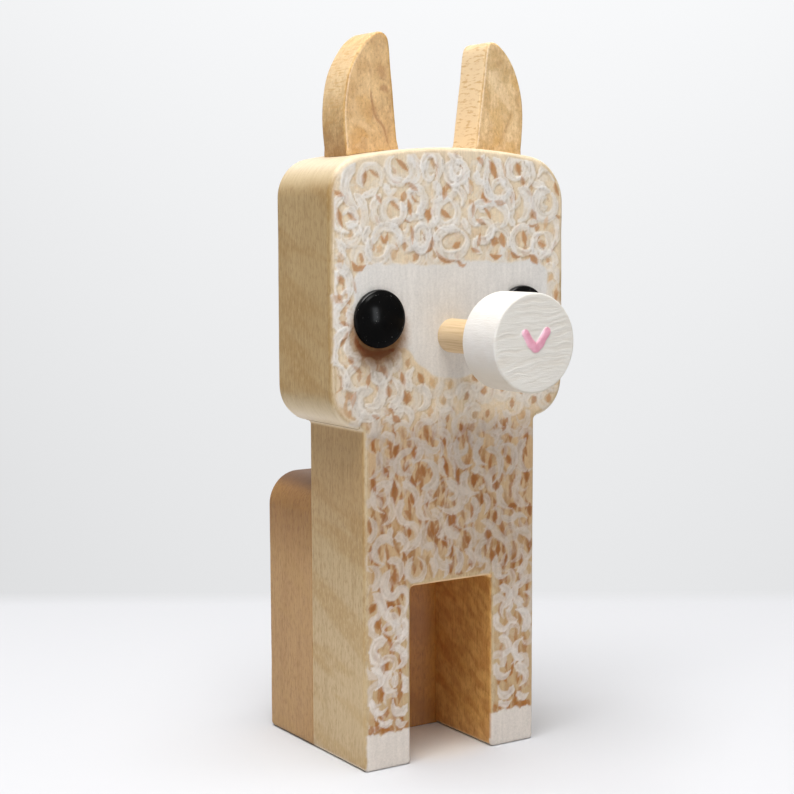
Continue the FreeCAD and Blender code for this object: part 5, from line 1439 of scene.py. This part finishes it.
# hidden dowels stay as the CAD parts themselves
for node in ("left_ear_dowels", "right_ear_dowels", "body_dowels"):
    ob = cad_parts[node]
    if ob.data.materials:
        for i in range(len(ob.data.materials)):
            ob.data.materials[i] = wood_dowel
    else:
        ob.data.materials.append(wood_dowel)

# =======================================================================================
# Stage: a plain pale table that fades into a plain pale backdrop, and soft light
# =======================================================================================


def backdrop_tone(t, links_from=None):
    """Tone of the pale backdrop: lighter towards the top middle."""
    nodes = t.nodes
    win = nodes.new("ShaderNodeTexCoord").outputs["Window"]
    sep = nodes.new("ShaderNodeSeparateXYZ")
    t.links.new(win, sep.inputs[0])

    def mth(op, a, b=0.0, c=None):
        n = nodes.new("ShaderNodeMath")
        n.operation = op
        for s, v in zip(n.inputs, (a, b, c)):
            if v is None:
                continue
            if isinstance(v, bpy.types.NodeSocket):
                t.links.new(v, s)
            else:
                s.default_value = v
        return n.outputs[0]

    x = mth("SUBTRACT", sep.outputs[0], 0.62)
    up = mth("POWER", mth("MAXIMUM", mth("SUBTRACT", sep.outputs[1], 0.25), 0.0), 1.25)
    v = mth("ADD", mth("MULTIPLY_ADD", up, 0.215, 0.805), mth("MULTIPLY", mth("MULTIPLY", x, x), -0.16))
    comb = nodes.new("ShaderNodeCombineColor")
    t.links.new(mth("MULTIPLY", v, 0.993), comb.inputs[0])
    t.links.new(v, comb.inputs[1])
    t.links.new(mth("MULTIPLY", v, 1.012), comb.inputs[2])
    return comb.outputs[0]


world = bpy.data.worlds.new("soft_room")
bpy.context.scene.world = world
world.use_nodes = True
wt = world.node_tree
wt.nodes.clear()
wout = wt.nodes.new("ShaderNodeOutputWorld")
path = wt.nodes.new("ShaderNodeLightPath")
seen = wt.nodes.new("ShaderNodeBackground")
wt.links.new(backdrop_tone(wt), seen.inputs["Color"])
amb = wt.nodes.new("ShaderNodeBackground")
amb.inputs["Color"].default_value = (1.0, 0.985, 0.965, 1)
amb.inputs["Strength"].default_value = 0.38
gls = wt.nodes.new("ShaderNodeBackground")
gls.inputs["Color"].default_value = (0.95, 0.97, 1.0, 1)
# in reflections the pale backdrop lies behind the object and the dark room in front of it
gdir = wt.nodes.new("ShaderNodeTexCoord")
gsep = wt.nodes.new("ShaderNodeSeparateXYZ")
wt.links.new(gdir.outputs["Generated"], gsep.inputs[0])
gmap = wt.nodes.new("ShaderNodeMapRange")
gmap.inputs["From Min"].default_value, gmap.inputs["From Max"].default_value = 0.0, 0.5
gmap.inputs["To Min"].default_value, gmap.inputs["To Max"].default_value = 0.06, 0.85
wt.links.new(gsep.outputs[1], gmap.inputs["Value"])
wt.links.new(gmap.outputs[0], gls.inputs["Strength"])
m1 = wt.nodes.new("ShaderNodeMixShader")
m2 = wt.nodes.new("ShaderNodeMixShader")
wt.links.new(path.outputs["Is Glossy Ray"], m1.inputs[0])
wt.links.new(amb.outputs[0], m1.inputs[1])
wt.links.new(gls.outputs[0], m1.inputs[2])
wt.links.new(path.outputs["Is Camera Ray"], m2.inputs[0])
wt.links.new(m1.outputs[0], m2.inputs[1])
wt.links.new(seen.outputs[0], m2.inputs[2])
wt.links.new(m2.outputs[0], wout.inputs["Surface"])

# table: a very large sheet; far from the camera it takes the tone of the backdrop
fm = bpy.data.meshes.new("table_top")
S = 6.0
fm.from_pydata([(-S, -S, -0.00004), (S, -S, -0.00004), (S, S, -0.00004), (-S, S, -0.00004)], [], [(0, 1, 2, 3)])
floor = bpy.data.objects.new("table_top", fm)
bpy.context.scene.collection.objects.link(floor)
fmat = bpy.data.materials.new("pale_table")
fmat.use_nodes = True
ft = fmat.node_tree
ft.nodes.clear()
fo = ft.nodes.new("ShaderNodeOutputMaterial")
df = ft.nodes.new("ShaderNodeBsdfDiffuse")
fn = ft.nodes.new("ShaderNodeTexNoise")
fn.inputs["Scale"].default_value = 9.0
fr = ft.nodes.new("ShaderNodeMix")
fr.data_type = "RGBA"
fr.inputs[6].default_value = (0.645, 0.656, 0.69, 1)
fr.inputs[7].default_value = (0.665, 0.676, 0.71, 1)
ft.links.new(fn.outputs[0], fr.inputs[0])
# a warm, lighter pool on the table close round the foot of the object: painted bounce light from the wood
spot = ft.nodes.new("ShaderNodeTexCoord")
sdist = ft.nodes.new("ShaderNodeVectorMath")
sdist.operation = "DISTANCE"
sdist.inputs[1].default_value = (0.0, 5.0 * MM, 0.0)
ft.links.new(spot.outputs["Object"], sdist.inputs[0])
srange = ft.nodes.new("ShaderNodeMapRange")
srange.interpolation_type = "SMOOTHSTEP"
srange.inputs["From Min"].default_value, srange.inputs["From Max"].default_value = 16 * MM, 6 * MM
ft.links.new(sdist.outputs["Value"], srange.inputs["Value"])
painted_warm_bounce = ft.nodes.new("ShaderNodeMix")
painted_warm_bounce.data_type, painted_warm_bounce.blend_type = "RGBA", "MULTIPLY"
painted_warm_bounce.inputs[7].default_value = (1.13, 1.06, 0.96, 1)
ft.links.new(srange.outputs[0], painted_warm_bounce.inputs[0])
ft.links.new(fr.outputs[2], painted_warm_bounce.inputs[6])
ft.links.new(painted_warm_bounce.outputs[2], df.inputs["Color"])
em = ft.nodes.new("ShaderNodeEmission")
ft.links.new(backdrop_tone(ft), em.inputs["Color"])
geo = ft.nodes.new("ShaderNodeNewGeometry")
vt = ft.nodes.new("ShaderNodeVectorTransform")
vt.vector_type, vt.convert_from, vt.convert_to = "VECTOR", "CAMERA", "WORLD"
vt.inputs[0].default_value = (0, 0, 1)
flat = ft.nodes.new("ShaderNodeVectorMath")
flat.operation = "MULTIPLY"
flat.inputs[1].default_value = (1, 1, 0)
ft.links.new(vt.outputs[0], flat.inputs[0])
nz = ft.nodes.new("ShaderNodeVectorMath")
nz.operation = "NORMALIZE"
ft.links.new(flat.outputs[0], nz.inputs[0])
dot = ft.nodes.new("ShaderNodeVectorMath")
dot.operation = "DOT_PRODUCT"
ft.links.new(geo.outputs["Incoming"], dot.inputs[0])
ft.links.new(nz.outputs[0], dot.inputs[1])
ab = ft.nodes.new("ShaderNodeMath")
ab.operation = "ABSOLUTE"
ft.links.new(dot.outputs["Value"], ab.inputs[0])
cd = ft.nodes.new("ShaderNodeCameraData")
ml = ft.nodes.new("ShaderNodeMath")
ml.operation = "MULTIPLY"
ft.links.new(ab.outputs[0], ml.inputs[0])
ft.links.new(cd.outputs["View Distance"], ml.inputs[1])
far = ft.nodes.new("ShaderNodeMapRange")
far.inputs["From Min"].default_value = 0.437
far.inputs["From Max"].default_value = 0.452
ft.links.new(ml.outputs[0], far.inputs["Value"])
lp = ft.nodes.new("ShaderNodeLightPath")
mc = ft.nodes.new("ShaderNodeMath")
mc.operation = "MULTIPLY"
ft.links.new(far.outputs[0], mc.inputs[0])
ft.links.new(lp.outputs["Is Camera Ray"], mc.inputs[1])
ms = ft.nodes.new("ShaderNodeMixShader")
ft.links.new(mc.outputs[0], ms.inputs[0])
ft.links.new(df.outputs[0], ms.inputs[1])
ft.links.new(em.outputs[0], ms.inputs[2])
ft.links.new(ms.outputs[0], fo.inputs["Surface"])
fm.materials.append(fmat)


def softbox(name, place, aim, size, watts, colour=(1, 1, 1)):
    d = bpy.data.lights.new(name, "AREA")
    d.shape, d.size, d.size_y = "RECTANGLE", size[0], size[1]
    d.energy, d.color = watts, colour
    o = bpy.data.objects.new(name, d)
    bpy.context.scene.collection.objects.link(o)
    o.location = place
    o.rotation_mode = "QUATERNION"
    o.rotation_quaternion = (Vector(aim) - Vector(place)).to_track_quat("-Z", "Y")
    o.visible_camera = False
    return o


softbox("overhead_softbox", (-0.13, -0.13, 0.74), (0, 0, 0.05), (0.48, 0.55), 7.3, (1.0, 0.988, 0.965))
strip = softbox("window_strip", (0.05, -0.60, 0.17), (-0.016, -0.01, 0.085), (0.13, 0.32), 6.4, (0.9, 0.95, 1.0))
strip.visible_diffuse = False

# =======================================================================================
# Camera
# =======================================================================================
cam_data = bpy.data.cameras.new("camera")
cam_data.lens, cam_data.sensor_width = 76.16, 36.0
cam = bpy.data.objects.new("camera", cam_data)
bpy.context.scene.collection.objects.link(cam)
yaw, pitch, roll = math.radians(-32.852), math.radians(5.918), math.radians(-0.193)
yaw = -yaw
fwd = Vector((math.sin(yaw) * math.cos(pitch), math.cos(yaw) * math.cos(pitch), -math.sin(pitch)))
right = Vector((math.cos(yaw), -math.sin(yaw), 0))
up = right.cross(fwd)
c, s = math.cos(roll), math.sin(roll)
r2, u2 = right * c + up * s, up * c - right * s
cam.matrix_world = Matrix(
    (
        (r2.x, u2.x, -fwd.x, -176.61 * MM),
        (r2.y, u2.y, -fwd.y, -260.35 * MM),
        (r2.z, u2.z, -fwd.z, 100.41 * MM),
        (0, 0, 0, 1),
    )
)
cam_data.clip_start, cam_data.clip_end = 0.01, 20.0
bpy.context.scene.camera = cam
bpy.context.scene.view_settings.view_transform = "Standard"
bpy.context.scene.view_settings.look = "None"
bpy.context.scene.view_settings.exposure = 0.0
